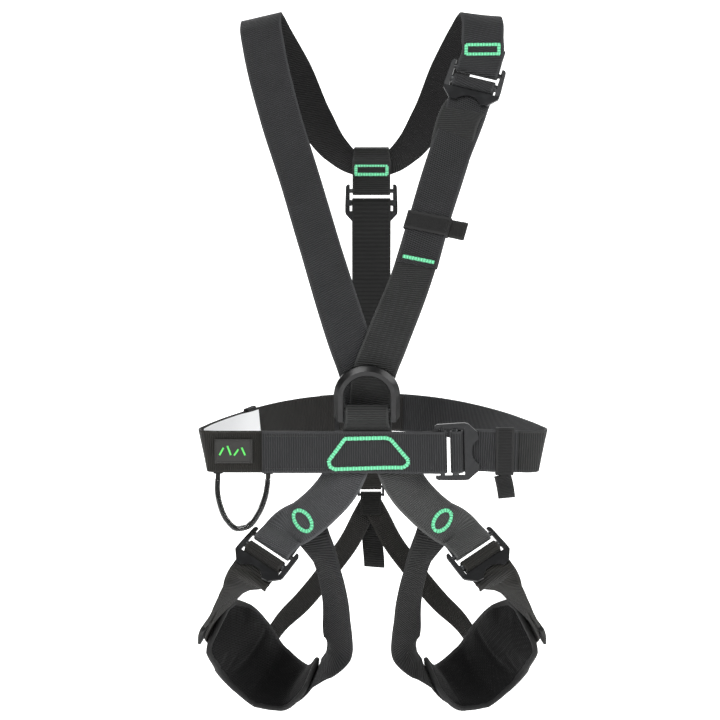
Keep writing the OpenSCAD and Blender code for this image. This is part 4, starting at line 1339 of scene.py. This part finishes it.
class SADDLE_OT_keepers(bpy.types.Operator):
    """Build the elastic keepers at the waist and on the right shoulder strap"""

    bl_idname = "saddle.keepers"
    bl_label = "Keepers"

    def execute(self, context):
        waist = sleeve("Waist keeper", WAIST_KEEPER_PLACE, WEBBING_WIDTH / 2 + 2.35, 3.45, 19, 1.1)
        finish_piece(waist, elastic(), "waist_keeper", ["waist_keeper"])
        tail = strap("Waist keeper tail", WAIST_TAIL_ROUTE, 18, 1.4, 1.4, 8)
        finish_piece(tail, elastic(), "waist_keeper", ["waist_keeper_tail"])
        band = sleeve("Shoulder keeper", KEEPER_PLACE, WEBBING_WIDTH / 2 + 1.4, 4.3, 20, 1.1)
        finish_piece(band, elastic(), "shoulder_keeper", ["shoulder_keeper"])
        side, along, out = axes(KEEPER_PLACE)
        centre = np.asarray(KEEPER_PLACE[0], float)
        fold = (24.4, -0.4), (33, -0.5), (40.4, -0.6), (41.2, -1.5), (40.4, -2.4), (33, -2.3), (24.4, -2.2)
        tab = [[list(centre - side * reach + out * rise), list(along)] for reach, rise in fold]
        flag = strap("Shoulder keeper tab", tab, 19, 1.1, 1.4, 8)
        finish_piece(flag, elastic(), "shoulder_keeper")
        return {"FINISHED"}


class SADDLE_OT_gear_loop(bpy.types.Operator):
    """Build the clear gear loop, the cord inside it and its two webbing tabs"""

    bl_idname = "saddle.gear_loop"
    bl_label = "Gear loop"

    def execute(self, context):
        tube = round_cord("Gear loop tube", GEAR_LOOP_ROUTE, TUBE_RADIUS, 20)
        plastic = finish("clear_tube", clear_tube_finish)
        finish_piece(tube, plastic, "gear_loop", ["gear_loop_tube"])
        inner = round_cord("Gear loop cord", GEAR_LOOP_ROUTE, CORD_RADIUS, 12)
        braid = finish("braided_cord", webbing_finish, (0.030, 0.030, 0.030), 0.0016, 0.5, 0.8, 0.02, 0.7)
        finish_piece(inner, braid, "gear_loop", ["gear_loop_cord"])
        for i, (x, y) in enumerate(((-163, -99.4), (-110, -101.4))):
            end = path((x, -103.5, -29.4), (x, y - 0.6, -23), (x, y, -16), width=(1, 0, 0))
            whipping = round_cord("Gear loop end %d" % (i + 1), end, WHIPPING_RADIUS, 14)
            on_harness(whipping, braid, "inner_cord")
            ends = path((x, y, -4.6, 1, 0, 0), (x, y, -24.4, 1, 0, 0))
            tab = strap("Gear loop tab %d" % (i + 1), ends, 10, 1.8, 2.0, 6)
            finish_piece(tab, elastic(), "harness", ["gear_loop_tabs"] if i == 0 else ())
        return {"FINISHED"}


class SADDLE_OT_stage(bpy.types.Operator):
    """Set the pale floor, the soft studio light and the camera"""

    bl_idname = "saddle.stage"
    bl_label = "Stage"

    def execute(self, context):
        pg = context.scene.saddle_stage
        turns = [math.pi * k / 24 for k in range(1, 13)]
        bend = [(BACKDROP_RADIUS * math.sin(t), BACKDROP_RADIUS * math.cos(t)) for t in turns]
        curve = [(-4.0, FLOOR_Z), (1.4, FLOOR_Z)]
        curve += [(1.4 + y, FLOOR_Z + BACKDROP_RADIUS - z) for y, z in bend] + [(2.6, 5.0)]
        corners = [(x, y, z) for y, z in curve for x in (-5.0, 5.0)]
        faces = [(2 * k, 2 * k + 1, 2 * k + 3, 2 * k + 2) for k in range(len(curve) - 1)]
        floor = new_piece("Backdrop", corners, faces)
        pale = finish("backdrop_pale", backdrop_finish, tuple(pg.floor_colour), pg.backdrop_glow)
        floor.data.materials.append(pale)
        lights = [
            self.area("Key_light", (-0.9, -1.9, 1.6), 1.6, pg.key_power),
            self.area("Side_light", (1.9, -0.9, 0.9), 1.4, pg.key_power * 0.55),
            self.area("Rear_light", (-0.6, 1.7, 1.5), 1.4, pg.key_power * 0.6),
        ]
        world = bpy.data.worlds.new("Studio")
        world.use_nodes = True
        sky = world.node_tree.nodes["Background"]
        sky.inputs["Color"].default_value = (1.0, 1.0, 1.0, 1.0)
        sky.inputs["Strength"].default_value = 0.22
        context.scene.world = world
        lens = bpy.data.cameras.new("Camera")
        lens.lens = FOCAL_LENGTH
        lens.sensor_width = 36.0
        camera = bpy.data.objects.new("Camera", lens)
        camera.location = CAMERA_SPOT
        camera.rotation_euler = (math.radians(90 - CAMERA_PITCH), 0.0, 0.0)
        context.scene.collection.objects.link(camera)
        context.scene.camera = camera
        context.scene.view_settings.view_transform = "Standard"
        return {"FINISHED"}

    def area(self, name, spot, size, power):
        lamp = bpy.data.lights.new(name, "AREA")
        lamp.size = size
        lamp.energy = power
        light = bpy.data.objects.new(name, lamp)
        light.location = spot
        light.rotation_euler = (Vector((0.0, 0.0, 0.05)) - Vector(spot)).to_track_quat("-Z", "Y").to_euler()
        bpy.context.scene.collection.objects.link(light)
        return light


class SADDLE_PT_panel(bpy.types.Panel):
    """Lists the saddle's settings and its building steps"""

    bl_idname = "SADDLE_PT_panel"
    bl_label = "Saddle"
    bl_space_type = "VIEW_3D"
    bl_region_type = "UI"
    bl_category = "Saddle"

    def draw(self, context):
        for settings in PROPERTY_GROUPS:
            group = getattr(context.scene, settings)
            for key in group.bl_rna.properties.keys():
                if key not in ("rna_type", "name"):
                    self.layout.prop(group, key)
        for operator in OPERATORS:
            self.layout.operator(operator.bl_idname)


PROPERTY_GROUPS = {
    "saddle_webbing": SADDLE_PG_webbing,
    "saddle_thread": SADDLE_PG_thread,
    "saddle_pads": SADDLE_PG_pads,
    "saddle_hardware": SADDLE_PG_hardware,
    "saddle_stage": SADDLE_PG_stage,
}
OPERATORS = (
    SADDLE_OT_belt,
    SADDLE_OT_ring,
    SADDLE_OT_buckles,
    SADDLE_OT_shoulders,
    SADDLE_OT_back,
    SADDLE_OT_belt_stitching,
    SADDLE_OT_legs,
    SADDLE_OT_pads,
    SADDLE_OT_risers,
    SADDLE_OT_keepers,
    SADDLE_OT_gear_loop,
    SADDLE_OT_stage,
)
CLASSES = (*PROPERTY_GROUPS.values(), *OPERATORS, SADDLE_PT_panel)


def register():
    for made in CLASSES:
        bpy.utils.register_class(made)
    for name, group in PROPERTY_GROUPS.items():
        setattr(bpy.types.Scene, name, bpy.props.PointerProperty(type=group))


def unregister():
    for name in PROPERTY_GROUPS:
        delattr(bpy.types.Scene, name)
    for made in reversed(CLASSES):
        bpy.utils.unregister_class(made)


def main():
    register()
    for operator in OPERATORS:
        group, step = operator.bl_idname.split(".")
        getattr(getattr(bpy.ops, group), step)()
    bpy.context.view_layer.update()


if __name__ == "__main__":
    main()
